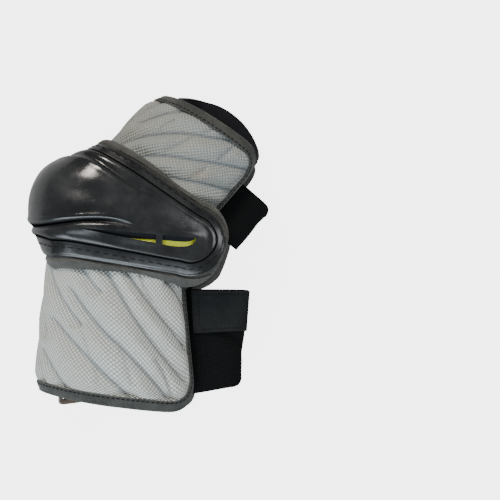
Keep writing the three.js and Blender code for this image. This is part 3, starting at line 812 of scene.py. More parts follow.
def mesh_cloth(name, deep, thread, light_thread, stain, rust=None):
    material, tree, place = new_material(name)
    threads_run = grow(tree, cloth_map(tree), (1.0, 0.74, 1.0))
    woven = use_group(tree, WEAVE, Cloth=threads_run, Pitch=0.0027)
    fuzz = use_group(tree, FUZZ, Place=place)
    dust = use_group(tree, DUST, Place=place, Amount=stain)
    threads = mix(tree, remap(tree, fuzz["Patches"], 0.3, 0.7), thread, light_thread)
    shown = mix(tree, remap(tree, woven["Height"], 0.45, 0.9), deep, threads)
    shown = mix(tree, dust["Mask"], shown, colour(176, 160, 136))
    if rust:
        away = tree.nodes.new("ShaderNodeVectorMath")
        away.operation = "DISTANCE"
        link(tree, grow(tree, place, (0.8, 1.2, 0.3)), away.inputs[0])
        away.inputs[1].default_value = (rust[0] * 0.8, rust[1] * 1.2, rust[2] * 0.3)
        frayed = math(tree, "MULTIPLY", fuzz["Patches"], 0.012)
        ragged = math(tree, "ADD", away.outputs["Value"], frayed)
        spot = remap(tree, ragged, 0.006, 0.014, 0.4, 0.0)
        shown = mix(tree, spot, shown, colour(160, 132, 92))
    # Painted shade: the creases' bottoms are darkened towards a bluish grey.
    valley = remap(tree, own_value(tree, "valley"), 0.1, 1.0, 0.0, 0.7)
    shown = mix(tree, valley, shown, colour(82, 92, 102))
    coarse = bump(tree, woven["Height"], 0.001, 0.9)
    finish(tree, {
        "Base Color": shown, "Roughness": 0.82, "Sheen Weight": 0.12,
        "Normal": bump(tree, fuzz["Height"], 0.0001, 0.35, coarse),
    })
    return material


def felt(name, dark, light, nap=0.00025, sheen=0.15):
    material, tree, place = new_material(name)
    fuzz = use_group(tree, FUZZ, Place=place)
    dust = use_group(tree, DUST, Place=place, Amount=0.22)
    fibres = mix(tree, remap(tree, fuzz["Height"], 0.38, 0.64), dark, light)
    worn = mix(tree, remap(tree, fuzz["Patches"], 0.42, 0.62, 0.0, 0.7), fibres, light)
    shown = mix(tree, math(tree, "MULTIPLY", dust["Mask"], 0.8), worn, light)
    finish(tree, {
        "Base Color": shown, "Roughness": 0.9, "Specular IOR Level": 0.25,
        "Sheen Weight": sheen, "Sheen Roughness": 0.5,
        "Normal": bump(tree, fuzz["Height"], nap, 0.8),
    })
    return material


def ribbed_webbing(name, dark, light, pitch):
    material, tree, place = new_material(name)
    split = tree.nodes.new("ShaderNodeSeparateXYZ")
    tree.links.new(cloth_map(tree), split.inputs[0])
    ribs = math(tree, "SINE", math(tree, "MULTIPLY", split.outputs[1], 2 * np.pi / pitch))
    rows = math(tree, "SINE", math(tree, "MULTIPLY", split.outputs[0], 2 * np.pi / 0.0011))
    ribs, rows = math(tree, "MULTIPLY", ribs, 0.35), math(tree, "MULTIPLY", rows, 0.15)
    height = math(tree, "ADD", ribs, rows)
    height = math(tree, "ADD", height, 0.5)
    fuzz = use_group(tree, FUZZ, Place=place)
    dust = use_group(tree, DUST, Place=place, Amount=0.25)
    shown = mix(tree, remap(tree, height, 0.1, 0.9), dark, light)
    shown = mix(tree, dust["Mask"], shown, colour(22, 23, 23))
    coarse = bump(tree, height, 0.0004, 0.8)
    finish(tree, {
        "Base Color": shown, "Roughness": 0.85, "Specular IOR Level": 0.08,
        "Normal": bump(tree, fuzz["Height"], 0.0001, 0.4, coarse),
    })
    return material


def moulded_plastic(name):
    material, tree, place = new_material(name)
    cloudy = noise(tree, place, 34, 6, 0.62)
    grain = noise(tree, place, 420, 3, 0.5)
    scuffs = noise(tree, grow(tree, place, (1.0, 5.0, 2.0)), 120, 5, 0.7)
    scuffed = remap(tree, scuffs, 0.62, 0.78)
    dust = use_group(tree, DUST, Place=place, Amount=0.5)
    clouds = remap(tree, cloudy, 0.35, 0.7)
    shown = mix(tree, clouds, colour(17, 19, 21), colour(36, 38, 39))
    shown = mix(tree, math(tree, "MULTIPLY", scuffed, 0.3), shown, colour(56, 53, 50))
    shown = mix(tree, math(tree, "MULTIPLY", dust["Mask"], 0.4), shown, colour(44, 41, 38))
    # Painted shade: the grooves are darkened nearly to black, with more roughness and no specular
    # gloss.
    painted_groove_shade = own_value(tree, "painted_groove_shade")
    shown = mix(tree, painted_groove_shade, shown, colour(2, 2, 3))
    rough = remap(tree, cloudy, 0.35, 0.65, 0.14, 0.36)
    rough = math(tree, "ADD", rough, math(tree, "MULTIPLY", scuffed, 0.2))
    rough = math(tree, "ADD", rough, math(tree, "MULTIPLY", painted_groove_shade, 0.7))
    waves = bump(tree, noise(tree, place, 55, 2, 0.5), 0.0009, 0.35)
    finish(tree, {
        "Base Color": shown, "Roughness": rough,
        "Specular IOR Level": remap(tree, painted_groove_shade, 0.0, 0.8, 0.6, 0.0),
        "Normal": bump(tree, grain, 0.00012, 0.4, waves),
    })
    return material


def foam_sheet(name):
    material, tree, place = new_material(name)
    cells = tree.nodes.new("ShaderNodeTexVoronoi")
    tree.links.new(place, cells.inputs["Vector"])
    cells.inputs["Scale"].default_value = 900
    pores = cells.outputs["Distance"]
    dust = use_group(tree, DUST, Place=place, Amount=0.25)
    pitted = remap(tree, pores, 0.0, 0.6, 0.0, 0.3)
    shown = mix(tree, pitted, colour(228, 238, 62), colour(196, 204, 44))
    shown = mix(tree, dust["Mask"], shown, colour(172, 176, 60))
    finish(tree, {"Base Color": shown, "Roughness": 0.7, "Normal": bump(tree, pores, 0.0003, 0.5)})
    return material


def thread_material(name, tone):
    material, tree, place = new_material(name)
    twist = math(tree, "SINE", math(tree, "MULTIPLY", noise(tree, place, 900, 2), 18.0))
    shown = mix(tree, remap(tree, twist, -1.0, 1.0, 0.0, 0.6), tone, colour(24, 24, 26))
    finish(tree, {
        "Base Color": shown, "Roughness": 0.8, "Specular IOR Level": 0.2,
        "Normal": bump(tree, twist, 0.0001, 0.5),
    })
    return material


def gloss_brown(name):
    material, tree, place = new_material(name)
    streaks = noise(tree, grow(tree, place, (1.0, 4.0, 1.0)), 90, 4, 0.6)
    shown = mix(tree, streaks, colour(54, 42, 34), colour(134, 118, 106))
    finish(tree, {
        "Base Color": shown, "Roughness": remap(tree, streaks, 0.2, 0.8, 0.16, 0.38),
        "Normal": bump(tree, streaks, 0.0003, 0.3),
    })
    return material


GREY_MESH = mesh_cloth(
    "grey_mesh_cloth", colour(159, 163, 160), colour(218, 220, 208), colour(240, 241, 232), 0.16)
# The upper pad's cloth is a darker copy of the grey mesh, for painted shade, with more dust and a
# rust stain as well.
STAINED_SHADED_MESH = mesh_cloth(
    "stained_shaded_mesh_cloth", colour(134, 138, 135), colour(160, 163, 156), colour(178, 181, 173), 0.3,
    (0.041, 0.055, 0.085))
LINING = felt("charcoal_lining", colour(34, 35, 38), colour(62, 64, 68))
TAPE = felt("grey_felt_tape", colour(28, 29, 28), colour(72, 73, 70))
CUP_CLOTH = felt("grey_cup_cloth", colour(40, 41, 39), colour(82, 82, 78), 0.0003)
CUFF_CLOTH = felt("navy_cuff_cloth", colour(6, 7, 11), colour(17, 18, 25), 0.0001, 0.05)
WEBBING = ribbed_webbing("charcoal_webbing", colour(3, 4, 4), colour(22, 23, 24), 0.0016)
TAB_CLOTH = felt("black_tab_cloth", colour(9, 10, 11), colour(28, 31, 32), 0.00015, 0.0)
CAP_PLASTIC = moulded_plastic("black_moulded_plastic")
YELLOW_FOAM = foam_sheet("neon_foam")
BLACK_THREAD = thread_material("black_thread", colour(14, 15, 16))
SLOT_SHADE = felt("slot_shade", colour(4, 6, 10), colour(10, 14, 22), 0.0001, 0.1)
RING_PLASTIC = gloss_brown("brown_ring_plastic")


# The quilted shells
def shell_columns(arm, u):
    """Places round the cut, closer together where the far corners turn."""
    q, reach, corner = np.abs(u * 2 - 1), cut_reach(arm), arm["corner"]
    flat = 0.8
    turn = share(flat, 1, q) * QUARTER
    around = np.where(q < flat, q / flat * (reach - corner), reach - corner * (1 - np.sin(turn)))
    return np.sign(u - 0.5) * around


def quilted_shell(name, arm, creases, belly, cloth_material, node):
    rows_at_roll = 0.2

    def place(u, v, w):
        around = shell_columns(arm, u)
        start, end = near_end(arm, around), far_end(arm, around)
        roll = np.minimum(PAD_EDGE_ROLL, (end - start) / 4)
        back = 1 - v
        edge_rows = end - roll * back / rows_at_roll
        other_rows = lerp(end - roll, start, share(rows_at_roll, 1, back))
        along = np.where(back < rows_at_roll, edge_rows, other_rows)
        edge = edge_distance(arm, around, along)
        drop = edge_drop(edge)
        depth, _, nearest = creases_at(creases, np.abs(around), along)
        depth -= SHELL_PUFF * ease(2, 12, nearest)
        depth -= belly * np.sin(HALF_TURN * v) * hump(around, 0, 48)
        depth *= ease(BINDING_WIDTH - 4, BINDING_WIDTH + 2, edge)
        outer = cut_point(arm, around, along, drop + depth, drop)
        inner = cut_point(arm, around, along, PAD_THICKNESS)
        return np.where((w > 0.5)[:, None], outer, inner)

    bm = grid_block(*SHELL_GRID, place, outside=0, inside=1)
    scale_cloth(bm, 2 * cut_reach(arm), arm_length(arm) - arm["near"])
    piece = add_piece(bm, name, [cloth_material, LINING], [node], crisp=60)
    store_crease_shade(piece, arm, creases)


def store_crease_shade(piece, arm, creases):
    """Stores how much painted shade each corner gets along the bottoms of the creases, for the
    cloth's shading.
    """
    mesh = piece.data
    co = np.empty(len(mesh.vertices) * 3, np.float32)
    mesh.vertices.foreach_get("co", co)
    spots = co.reshape(-1, 3) * 1000 - BEND_IN_FRAME
    heading = np.radians(arm["heading"])
    along = spots[:, 0] * np.cos(heading) + spots[:, 1] * np.sin(heading)
    across = -spots[:, 0] * np.sin(heading) + spots[:, 1] * np.cos(heading)
    side = across * arm["crook_side"] - arm["shift"]
    half_side = lerp(arm["side_at_bend"], arm["side_at_end"], along / arm_length(arm))
    rise = (spots[:, 2] - line_height(arm, along)) / half_rise(arm, along)
    angle = np.arctan2(bent(rise, OVAL_POWER / 2), bent(side / half_side, OVAL_POWER / 2))
    around = np.abs(HALF_TURN - np.abs(angle)) * cut_radius(arm)
    crease_shade = creases_at(creases, around, along)[1]
    values = mesh.attributes.new("valley", "FLOAT", "POINT")
    values.data.foreach_set("value", crease_shade.astype(np.float32))


# The felt bindings
def edge_spot(arm, t):
    reach, corner = cut_reach(arm), arm["corner"]
    side_step = share(BINDING_TURN, 0, t) + share(1 - BINDING_TURN, 1, t)
    turn = lerp(-1, 1, share(BINDING_TURN, 1 - BINDING_TURN, t))
    flat = 1 - corner / reach
    past = share(flat, 1, np.abs(turn)) * QUARTER
    corner_round = np.sign(turn) * (reach - corner * (1 - np.sin(past)))
    around = np.where(np.abs(turn) < flat, turn * reach, corner_round)
    along = lerp(far_end(arm, around), near_end(arm, reach), side_step)
    return around, along


def beside_edge(arm, t, out, inset, lift=None):
    around, along = edge_spot(arm, t)
    before = edge_spot(arm, np.maximum(0, t - 0.004))
    after = edge_spot(arm, np.minimum(1, t + 0.004))
    run = (after[0] - before[0], after[1] - before[1])
    scale = out / np.hypot(*run)
    lift = np.maximum(inset, 0) if lift is None else lift
    return cut_point(arm, around - scale * run[1], along + scale * run[0], inset, lift)


def tape_section():
    """The folded tape's outline as (out, inset), from its upper inner edge round to it again."""
    inner_edge, fold = BINDING_THICKNESS - BINDING_WIDTH, -0.9
    top = [(x, float(edge_drop(-x)) - BINDING_LAP) for x in np.linspace(inner_edge, fold, 7)]
    top = [(x, y - TAPE_PUFF * np.sin(HALF_TURN * share(inner_edge, fold, x))) for x, y in top]
    high, low = top[-1][1], PAD_THICKNESS + BINDING_LAP
    middle, half = (high + low) / 2, (low - high) / 2
    turns = np.linspace(QUARTER, -QUARTER, 12)[1:-1]
    edge = [
        (fold + (BINDING_LAP - fold) * np.cos(a) ** 0.6, middle - half * bent(np.sin(a), 0.7))
        for a in turns
    ]
    bottom = [(x, low) for x in np.linspace(fold, inner_edge, 4)]
    lining = [(inner_edge, PAD_THICKNESS + GAP / 2), (0.1, PAD_THICKNESS + GAP / 2)]
    under = [(x, float(edge_drop(max(-x, 0))) - GAP / 2) for x in (0.1, -3, inner_edge)]
    return np.array(top + edge + bottom + lining + under)


def tape_binding(name, arm, node):
    section = tape_section()
    count = len(section)

    def place(u, v):
        index = np.round(v * count).astype(int) % count
        return beside_edge(arm, u, section[index, 0], section[index, 1])

    bm = ring_block(TAPE_STEPS, count, place)
    piece = add_piece(bm, name, [TAPE], [node], crisp=70)
    t = np.linspace(0.004, 0.996, 900)
    out = BINDING_THICKNESS - BINDING_WIDTH + 1.7
    top = float(edge_drop(-out)) - BINDING_LAP - 0.3
    line = beside_edge(arm, t, np.full_like(t, out), np.full_like(t, top), 0.5)
    stitch_lines(name + "_stitches", [line], TAPE_STITCH)


# The moulded cap
def cap_columns(from_tip, v, rim):
    """Places across the cap, closer together at the flange's step."""
    half = cap_half_width(from_tip)
    back = np.maximum(0, CAP_TIP_ROUND - from_tip)
    radius = CAP_TIP_HALF_WIDTH - CAP_FLANGE
    tip_foot = np.sqrt(np.maximum(1, radius**2 - back**2))
    foot = np.where(back > 0, np.minimum(tip_foot, half * 0.7), half - CAP_FLANGE)
    q = np.abs(v * 2 - 1)
    inner = foot * (1 - (1 - share(0, rim, q)) ** 1.25)
    outer = lerp(foot, half, share(rim, 1, q) ** 1.15)
    return np.sign(v - 0.5) * np.where(q < rim, inner, outer)


def cap_place(u):
    """The wing's side and the distance from its tip, closer together near the tips."""
    t = u * 2 - 1
    from_tip = CAP_HALF_LENGTH * (1 - np.abs(t)) ** 1.3
    return np.where(t < 0, -1, 1), from_tip


def slot_outline():
    length = float(np.hypot(*(SLOT_END - SLOT_START)))
    run = (SLOT_END - SLOT_START) / length
    t = np.linspace(0, 1, 22)[:, None]
    a, b, c, d = (np.array(p) for p in (
        (length, 0), (length, -SLOT_WIDTH), (length * 0.86, -SLOT_WIDTH * 1.15),
        (length * 0.66, -SLOT_WIDTH * 0.8)))
    belly = (1 - t) ** 3 * a + 3 * t * (1 - t) ** 2 * b + 3 * t**2 * (1 - t) * c + t**3 * d
    e = np.array((length * 0.36, -SLOT_WIDTH * 0.55))
    taper = (1 - t) ** 2 * d + 2 * t * (1 - t) * e
    local = np.concatenate([[(0, 0)], belly, taper[1:-1]])
    beside = np.array([run[1], -run[0]])
    return local, run, beside, length


def slot_cutters(wing):
    """The slots' upright cutters in one wing, one on each side of the bridge."""
    local, run, beside, length = slot_outline()
    bridge = (SLOT_BRIDGE_AT * length - SLOT_BRIDGE / 2, SLOT_BRIDGE_AT * length + SLOT_BRIDGE / 2)
    cutters = []
    for low, high in ((-1, bridge[0]), (bridge[1], length + 1)):
        bm = bmesh.new()
        ring = [bm.verts.new((x, y, 0)) for x, y in local]
        bm.faces.new(ring)
        for x, keep in ((low, 1), (high, -1)):
            bmesh.ops.bisect_plane(
                bm, geom=bm.verts[:] + bm.edges[:] + bm.faces[:], plane_co=(x, 0, 0),
                plane_no=(-keep, 0, 0), clear_outer=True)
        thicken(bm, 30)

        def place(co):
            spot = SLOT_START + co[:, :1] * run + co[:, 1:2] * beside
            height = LINE_HEIGHT + wing * (CAP_RISE * 0.72 + co[:, 2])
            return cap_plane(spot[:, 0], spot[:, 1], height)

        settle(bm, place)
        cutters.append(bm)
    return cutters


def slot_walls(bm_target, wing):
    """The slots' slanted upper walls, which run down to the foam."""
    local, run, beside, length = slot_outline()

    def place(u, v, w):
        x = lerp(length * 0.02, length * 0.995, u)
        lower = np.interp(x, *belly_depth(local))
        y = lerp(0.35, -lower * lerp(1.0, 0.5, ease(0.32, 0.8, x / length)), v)
        spot = SLOT_START + x[:, None] * run + y[:, None] * beside
        station = cap_station(wing, CAP_WING - np.maximum(0, CAP_BEND_END - spot[:, 0]))
        top = cap_drop(station, spot[:, 1]) + 0.35
        floor = cap_curve(station, spot[:, 1]) + PANEL_STEP + CAP_WALL - 0.15
        drop = lerp(top, floor, v ** 0.8) + (1 - w) * 0.9
        return cap_spot(station, spot[:, 1], drop)

    mesh = mesh_of(grid_block(60, 6, place, outside=1, inside=1), "slot_wall")
    bm_target.from_mesh(mesh)
    bpy.data.meshes.remove(mesh)


def add_slot_walls(bm):
    for wing in (1, -1):
        slot_walls(bm, wing)


def belly_depth(local):
    """The slots' depth below their upper edge, as places and depths in order."""
    below = local[1:]
    order = np.argsort(below[:, 0])
    return below[order, 0], -below[order, 1]


def elbow_cap():
    def place(u, v, w):
        side, from_tip = cap_place(u)
        station = cap_station(side, from_tip)
        across = cap_columns(from_tip, v, CAP_FOOT)
        outer = cap_spot(station, across, cap_drop(station, across))
        edge = cap_edge_distance(from_tip, across)
        on_flange = ease(CAP_FLANGE + 3, CAP_FLANGE - 1, edge)
        under = cap_curve(station, across) + PANEL_STEP + CAP_WALL + CAP_FLANGE_STEP * on_flange
        inner = cap_spot(station, across, np.maximum(under, cap_drop(station, across) + 1))
        return np.where((w > 0.5)[:, None], outer, inner)

    bm = grid_block(*CAP_GRID, place)
    piece = add_piece(
        bm, "elbow_cap_shell", [CAP_PLASTIC, SLOT_SHADE], ["elbow_cap"], crisp=55)
    cut_away(piece, slot_cutters(1) + slot_cutters(-1))
    rework(piece, add_slot_walls, 38)
    store_groove_shade(piece.data)
    round_edges(piece, 0.35, 2, 50)


def store_groove_shade(mesh):
    """Marks the painted shade in the cap's grooves, for its plastic's shading."""
    spots = np.empty(len(mesh.loops) * 2, np.float32)
    mesh.uv_layers["cloth"].data.foreach_get("uv", spots)
    u, v = np.clip(spots.reshape(-1, 2).T.astype(float), 0, 1)
    side, from_tip = cap_place(u)
    painted_groove_shade = cap_groove_shade(cap_station(side, from_tip), cap_columns(from_tip, v, CAP_FOOT))
    values = mesh.attributes.new("painted_groove_shade", "FLOAT", "CORNER")
    values.data.foreach_set("value", painted_groove_shade.astype(np.float32))


def flange_line(lift):
    """The seam that runs round the whole cap, in the middle of its flange."""
    reach = np.linspace(CAP_TIP_ROUND, CAP_HALF_LENGTH, 220)
    turn = np.linspace(-QUARTER, QUARTER, 60)
    tip_margin = cap_flange(0, 24 * np.sin(turn)) - CAP_FLANGE + CAP_SEAM
    radius = CAP_TIP_HALF_WIDTH - tip_margin
    runs = [(np.maximum(CAP_TIP_ROUND - radius * np.cos(turn), 0.5), radius * np.sin(turn))]
    for way in (-1, 1):
        margin = cap_flange(reach, way * 20) - CAP_FLANGE + CAP_SEAM
        runs.append((reach, way * (cap_half_width(reach) - margin)))
    lines = []
    for side in (-1, 1):
        for from_tip, across in runs:
            station = cap_station(side, from_tip)
            lines.append(cap_spot(station, across, cap_drop(station, across) - lift))
    return lines


def yellow_foam():
    def place(u, v, w):
        side, from_tip = cap_place(lerp(0.05, 0.95, u))
        half = cap_half_width(np.maximum(from_tip, CAP_TIP_ROUND / 5))
        flange = np.maximum(half - CAP_FLANGE, half * 0.4)
        across = (v * 2 - 1) * np.maximum(flange - FOAM_MARGIN, half * 0.3)
        return cap_inside(side, from_tip, across, lerp(GAP + FOAM_THICKNESS, GAP, w))

    bm = grid_block(*FOAM_GRID, place)
    piece = add_piece(bm, "neon_foam_sheet", [YELLOW_FOAM], ["cap_foam"])


def arm_room(arm, inset, start):
    """All the room inside an arm's oval, for cutting what sits on it."""
    bm = new_grid(72, 16)
    settle(bm, lambda co: oval_point(
        arm, (co[:, 0] + 0.5) * 2 * HALF_TURN, lerp(start, arm_length(arm), co[:, 1] + 0.5), inset))
    close_ends(bm)
    return bm


def padded_cup():
    def place(u, v, w):
        t = u * 2 - 1
        side = np.where(t < 0, -1, 1)
        spot = lerp(-CUP_TIP_RIM, CAP_HALF_LENGTH, (1 - np.abs(t)) ** 1.5)
        from_tip, overrun = np.maximum(spot, 0), np.maximum(-spot, 0)
        back = share(CAP_TIP_ROUND, -CUP_TIP_RIM, spot)
        tip = lerp(5, CAP_TIP_HALF_WIDTH, np.sqrt(1 - back * back))
        rim = np.where(v < 0.5, CUP_RIM + CUP_LOWER_RIM_WIDER, CUP_RIM) * np.sqrt(1 - back**4)
        half = lerp(tip, CAP_HALF_WIDTH, share(CAP_TIP_ROUND, CAP_TAPER, from_tip)) + rim
        across = (v * 2 - 1) * half
        to_elbow = ease(CAP_TIP, CAP_TIP + CAP_POINT, from_tip)
        depth = lerp(CUP_WING_DEPTH, CUP_ELBOW_DEPTH, to_elbow)
        from_rim = np.minimum(half - np.abs(across), spot + CUP_TIP_RIM + 0.4)
        rolled = 1 - share(0, CUP_ROLL_REACH, from_rim)
        roll = CUP_ROLL * (1 - np.sqrt(np.maximum(0, 1 - rolled**2)))
        puff = CUP_PUFF * np.sin(from_tip / 7.5) * share(7, 2, from_rim)
        swell = CUP_RIM_SWELL * ease(rim - 0.5, rim - 2.5, from_rim)
        pocket = ease(13, 15, half - rim - np.abs(across)) * ease(6, 12, from_tip)
        top = GAP + roll - swell + puff * 0.6 + (FOAM_THICKNESS + 2 * GAP) * pocket
        inset = np.where(w > 0.5, top, depth - roll)
        return cap_inside(side, from_tip, across + np.sign(across) * puff * 0.5, inset, overrun)

    bm = grid_block(*CUP_GRID, place)
    piece = add_piece(bm, "padded_elbow_cup", [CUP_CLOTH], ["elbow_cup"])
    elbow = bmesh.new()
    bmesh.ops.create_uvsphere(elbow, u_segments=48, v_segments=24, radius=1)
    side = FOREARM["side_at_bend"] - PAD_THICKNESS
    rise = FOREARM["rise_at_bend"] - PAD_THICKNESS
    settle(elbow, lambda co: co * (side, side, rise) + (0, 0, LINE_HEIGHT))
    rooms = [elbow]
    for arm in (FOREARM, UPPER_ARM):
        rooms.append(arm_room(arm, -1.3, arm["near"] - 1.2))
        rooms.append(arm_room(arm, PAD_THICKNESS, -arm["near"]))
    cut_away(piece, rooms)
    rework(piece, keep_largest, 50)


def keep_largest(bm):
    """Deletes the slivers that a cut leaves, all but the mesh's largest body."""
    bm.faces.ensure_lookup_table()
    seen, bodies = set(), []
    for face in bm.faces:
        if face in seen:
            continue
        body, edge = [], [face]
        seen.add(face)
        while edge:
            one = edge.pop()
            body.append(one)
            for side in one.edges:
                for other in side.link_faces:
                    if other not in seen:
                        seen.add(other)
                        edge.append(other)
        bodies.append(body)
    bodies.sort(key=len)
    for body in bodies[:-1]:
        bmesh.ops.delete(bm, geom=body, context="FACES")


# The padded cuff
def cuff():
    inset = LINING_INSET + GAP

    def section(v):
        turn = v * 4
        end = np.where(turn < 1, turn, np.where(turn < 2, 1, np.where(turn < 3, 3 - turn, 0)))
        depth = np.where(turn < 1, 0, np.where(turn < 2, turn - 1, np.where(turn < 3, 1, 4 - turn)))
        return end, depth

    def place(u, v):
        angle = u * 2 * HALF_TURN
        end, depth = section(v)
        slant = ((1 - np.sin(angle)) / 2) ** CUFF_SLANT
        along = lerp(CUFF_START, lerp(CUFF_TOP_END, CUFF_BOTTOM_END, slant), end)
        roll = 1.6 * ease(0.85, 1, end) * np.sign(0.5 - depth)
        channel = 0.35 * (1 - np.abs(np.sin(end * 9)) ** 0.5) * (depth < 0.5)
        return oval_point(UPPER_ARM, angle, along, inset + CUFF_THICKNESS * depth + roll + channel)

    bm = ring_block(150, 64, place)
    piece = add_piece(bm, "padded_cuff", [CUFF_CLOTH], ["upper_arm_cuff"], crisp=80)
    angle = np.linspace(0, 2 * HALF_TURN, 600)
    slant = ((1 - np.sin(angle)) / 2) ** CUFF_SLANT
    lines = []
    for back in (2.5, 5.0, 9.5):
        along = lerp(CUFF_TOP_END, CUFF_BOTTOM_END, slant) - back
        sunk = 0.8 if back < 3 else 0.05
        lines.append(oval_point(UPPER_ARM, angle, along, inset + sunk))
    stitch_lines("cuff_stitches", lines, CUFF_STITCH)


# The elastic straps
def strap_spot(arm, strap, turn, along):
    h = np.abs(turn)
    top = np.where(turn < 0, -1, 1)
    edge = np.radians(arm["opening"] / 2) - 2.5 * BINDING_LAP / cut_radius(arm)
    inset = LINING_INSET + 2 * GAP + STRAP_THICKNESS / 2
    angle = lerp(edge, STRAP_SEAM, share(STRAP_LOOP, 1, h))
    seam_side, seam_height = oval_spot(arm, angle * top, along, inset)
    side, height = oval_spot(arm, edge * top, along, inset)
    quarter = np.minimum(h / STRAP_LOOP, 1) * QUARTER
    fold = lerp(strap["fold"], strap["fold_at_end"], share(strap["start"], strap["end"], along))
    centre = line_height(arm, along) - strap["sag"] * np.cos(quarter)
    power = 2 / STRAP_SQUARENESS
    loop_side = side + (fold - side) * np.maximum(0, np.cos(quarter)) ** power
    loop_height = centre + (height - centre) * np.maximum(0, np.sin(quarter)) ** power
    inside = h > STRAP_LOOP
    return np.where(inside, seam_side, loop_side), np.where(inside, seam_height, loop_height)


def strap_point(arm, strap, turn, v, out):
    fold = ease(0.9, 0.2, np.abs(turn))
    along = lerp(strap["start"], lerp(strap["end"], strap["end_at_fold"], fold), v)
    along = along - 8 * share(0.26, 0, np.abs(turn)) ** 2 * v**6
    before = strap_spot(arm, strap, np.maximum(-1, turn - 0.012), along)
    after = strap_spot(arm, strap, np.minimum(1, turn + 0.012), along)
    side, height = strap_spot(arm, strap, turn, along)
    run = (after[0] - before[0], after[1] - before[1])
    length = np.hypot(*run)
    return arm_point(arm, along, side + out * run[1] / length, height - out * run[0] / length)


def strap_turns(u):
    """Places along the band, closer together where it folds."""
    q = u * 2 - 1
    return bent(q, 1.35)


def elastic_strap(name, arm, strap, node, length, valley):
    def place(u, v, w):
        turn = strap_turns(u)
        hem = 0.25 * (ease(0.05, 0.02, v) + ease(0.95, 0.98, v))
        loose = ease(0.66, 0.3, np.abs(turn))
        buckle = hump(v, 0.62 - 0.55 * turn, 0.09) * share(-0.1, 0.15, turn)
        sway = loose * (0.35 * np.sin(v * 7 + turn * 5) - valley * buckle)
        out = (w - 0.5) * (STRAP_THICKNESS - 0.5 + 2 * hem) + sway
        return strap_point(arm, strap, turn, v, out)

    bm = grid_block(*BAND_GRID, place)
    width = strap["end"] - strap["start"]
    scale_cloth(bm, length, width)
    piece = add_piece(bm, name, [WEBBING], [node], crisp=60)
    round_edges(piece, 0.5, 3, 50)


def strap_tab():
    strap = FOREARM_STRAP
    width = strap["end"] - strap["start"]

    def tab_point(u, v, out):
        place = (TAB_MARGIN + TAB_LENGTH * v) / width
        return strap_point(FOREARM, strap, lerp(TAB_FROM, TAB_TO, u), place, out)

    base = STRAP_THICKNESS / 2 + GAP / 2

    def place(u, v, w):
        near = np.minimum.reduce([u * 40, (1 - u) * 40, v * TAB_LENGTH, (1 - v) * TAB_LENGTH])
        sewn = 0.45 * hump(near, 3, 0.9)
        hem = 0.8 * ease(0.16, 0.1, u)
        return tab_point(u, v, base + w * (TAB_THICKNESS - sewn + hem))

    bm = grid_block(*TAB_GRID, place)
    scale_cloth(bm, 40, TAB_LENGTH)
    piece = add_piece(
        bm, "strap_tab", [TAB_CLOTH], ["forearm_strap_tab"], crisp=60)
    round_edges(piece, 0.4, 3, 50)
    top = base + TAB_THICKNESS - 0.35
    s = np.linspace(0.075, 0.925, 80)
    low, high = np.full_like(s, 0.075), np.full_like(s, 0.925)
    sides = [(s, low), (s, high), (low, s), (high, s)]
    lines = [tab_point(u, v, top + 0.8 * ease(0.16, 0.1, u)) for u, v in sides]
    across = np.linspace(0.02, 0.98, 80)
    hem = np.full_like(across, 0.14)
    lines.append(tab_point(hem, across, top + 0.7))
    stitch_lines("tab_stitches", lines, TAB_STITCH)


# The ring and the tape that holds it
def ring_frame():
    sagitta = RING_WIDTH**2 / (8 * half_rise(FOREARM, FOREARM["far"]))
    inset = LINING_INSET + RING_THICKNESS / 2 + sagitta + KEEPER_THICKNESS
    along = far_end(FOREARM, cut_radius(FOREARM) * (HALF_TURN - RING_ANGLE)) + BINDING_LAP
    origin = oval_point(FOREARM, RING_ANGLE, along, inset)
    ahead = oval_point(FOREARM, RING_ANGLE, along + 1, inset) - origin
    ahead = ahead / np.linalg.norm(ahead)
    beside = oval_point(FOREARM, RING_ANGLE + 0.05, along, inset) - origin
    out = np.cross(beside, ahead)
    out = out / np.linalg.norm(out)
    return origin, np.cross(ahead, out), ahead, out


def in_ring(x, y, z):
    origin, across, ahead, out = ring_frame()
    return origin + x[:, None] * across + y[:, None] * ahead + z[:, None] * out


def strap_ring():
    def place(u, v):
        turn, section = u * 2 * HALF_TURN, v * 2 * HALF_TURN
        bar = RING_BAR * (1 + 0.5 * smooth(np.maximum(0, np.sin(turn))))
        radius = bar / 2 * bent(np.cos(section), 0.7)
        x = (RING_WIDTH / 2 - bar / 2 + radius) * bent(np.cos(turn), 0.42)
        y = (RING_DEPTH / 2 - bar / 2 + radius) * bent(np.sin(turn), 0.42)
        z = RING_THICKNESS / 2 * bent(np.sin(section), 0.7)
        return in_ring(x, y + RING_DEPTH / 2 - RING_SET_BACK, z)

    bm = ring_block(96, 20, place)
    add_piece(bm, "webbing_ring", [RING_PLASTIC], ["strap_ring"])


def ring_keeper():
    def place(u, v, w):
        reach = RING_THICKNESS / 2 + GAP + KEEPER_THICKNESS * w
        bend = share(0.35, 0.65, u) * HALF_TURN
        straight = np.where(u < 0.5, share(0.35, 0, u), share(0.65, 1, u))
        y = np.where((u > 0.35) & (u < 0.65), reach * np.sin(bend), -KEEPER_LENGTH * straight)
        return in_ring(KEEPER_WIDTH * (v - 0.5), y, reach * np.cos(bend))

    bm = grid_block(60, 16, place)
    scale_cloth(bm, 2 * KEEPER_LENGTH + 6, KEEPER_WIDTH)
    piece = add_piece(bm, "keeper_tape", [WEBBING], ["ring_keeper"])


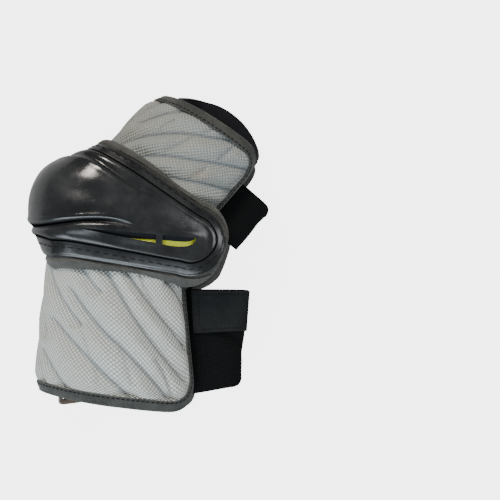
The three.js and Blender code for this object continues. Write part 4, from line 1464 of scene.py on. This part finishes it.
quilted_shell("quilted_forearm", FOREARM, FOREARM_CREASES, 0.8, GREY_MESH, "forearm_pad")
quilted_shell("quilted_upper_arm", UPPER_ARM, UPPER_ARM_CREASES, 2.6, STAINED_SHADED_MESH, "upper_arm_pad")
tape_binding("forearm_tape", FOREARM, "forearm_binding")
tape_binding("upper_arm_tape", UPPER_ARM, "upper_arm_binding")
elbow_cap()
stitch_lines("cap_stitches", flange_line(-0.05), CAP_STITCH)
yellow_foam()
padded_cup()
cuff()
elastic_strap(
    "forearm_band", FOREARM, FOREARM_STRAP, "forearm_strap",
    length=142, valley=2.4)
elastic_strap(
    "upper_arm_band", UPPER_ARM, UPPER_ARM_STRAP, "upper_arm_strap",
    length=120, valley=1.0)
strap_tab()
strap_ring()
ring_keeper()


# The room, light and camera
def floor():
    bm = bmesh.new()
    bmesh.ops.create_grid(bm, x_segments=1, y_segments=1, size=20)
    mesh = mesh_of(bm, "floor")
    pale, tree, _ = new_material("pale_floor")
    seen = tree.nodes.new("ShaderNodeLightPath").outputs["Is Camera Ray"]
    finish(tree, {
        "Base Color": (0.5, 0.5, 0.5, 1), "Roughness": 0.8, "Emission Color": (1, 1, 1, 1),
        "Emission Strength": math(tree, "MULTIPLY", seen, FLOOR_GLOW),
    })
    mesh.materials.append(pale)
    ground = new_object("floor", mesh)


def soft_light(name, place, size, power, tint):
    data = bpy.data.lights.new(name, "AREA")
    data.shape = "RECTANGLE"
    data.size, data.size_y = size
    data.energy = power
    data.color = tint
    lamp = new_object(name, data)
    lamp.location = place
    lamp.rotation_euler = (Vector(LIT_MIDDLE) - Vector(place)).to_track_quat("-Z", "Y").to_euler()


def studio():
    world = bpy.data.worlds.new("studio")
    world.use_nodes = True
    sky = world.node_tree.nodes["Background"]
    sky.inputs["Color"].default_value = (0.95, 0.97, 1.0, 1)
    sky.inputs["Strength"].default_value = SKY_STRENGTH
    bpy.context.scene.world = world
    for light in LIGHTS:
        soft_light(*light)


def photo_camera():
    """The picture's middle lies right of the pad."""
    elevation = np.radians(PHOTO_ELEVATION)
    aim = Vector(in_frame(PHOTO_MIDDLE))
    back = Vector((0, -np.cos(elevation), np.sin(elevation)))
    data = bpy.data.cameras.new("camera")
    data.sensor_width = 36
    data.lens = data.sensor_width * PHOTO_FOCAL_PIXELS / PHOTO_PIXELS
    camera = new_object("camera", data)
    camera.location = aim + PHOTO_DISTANCE * back
    camera.rotation_euler = back.to_track_quat("Z", "Y").to_euler()
    bpy.context.scene.camera = camera


floor()
studio()
photo_camera()
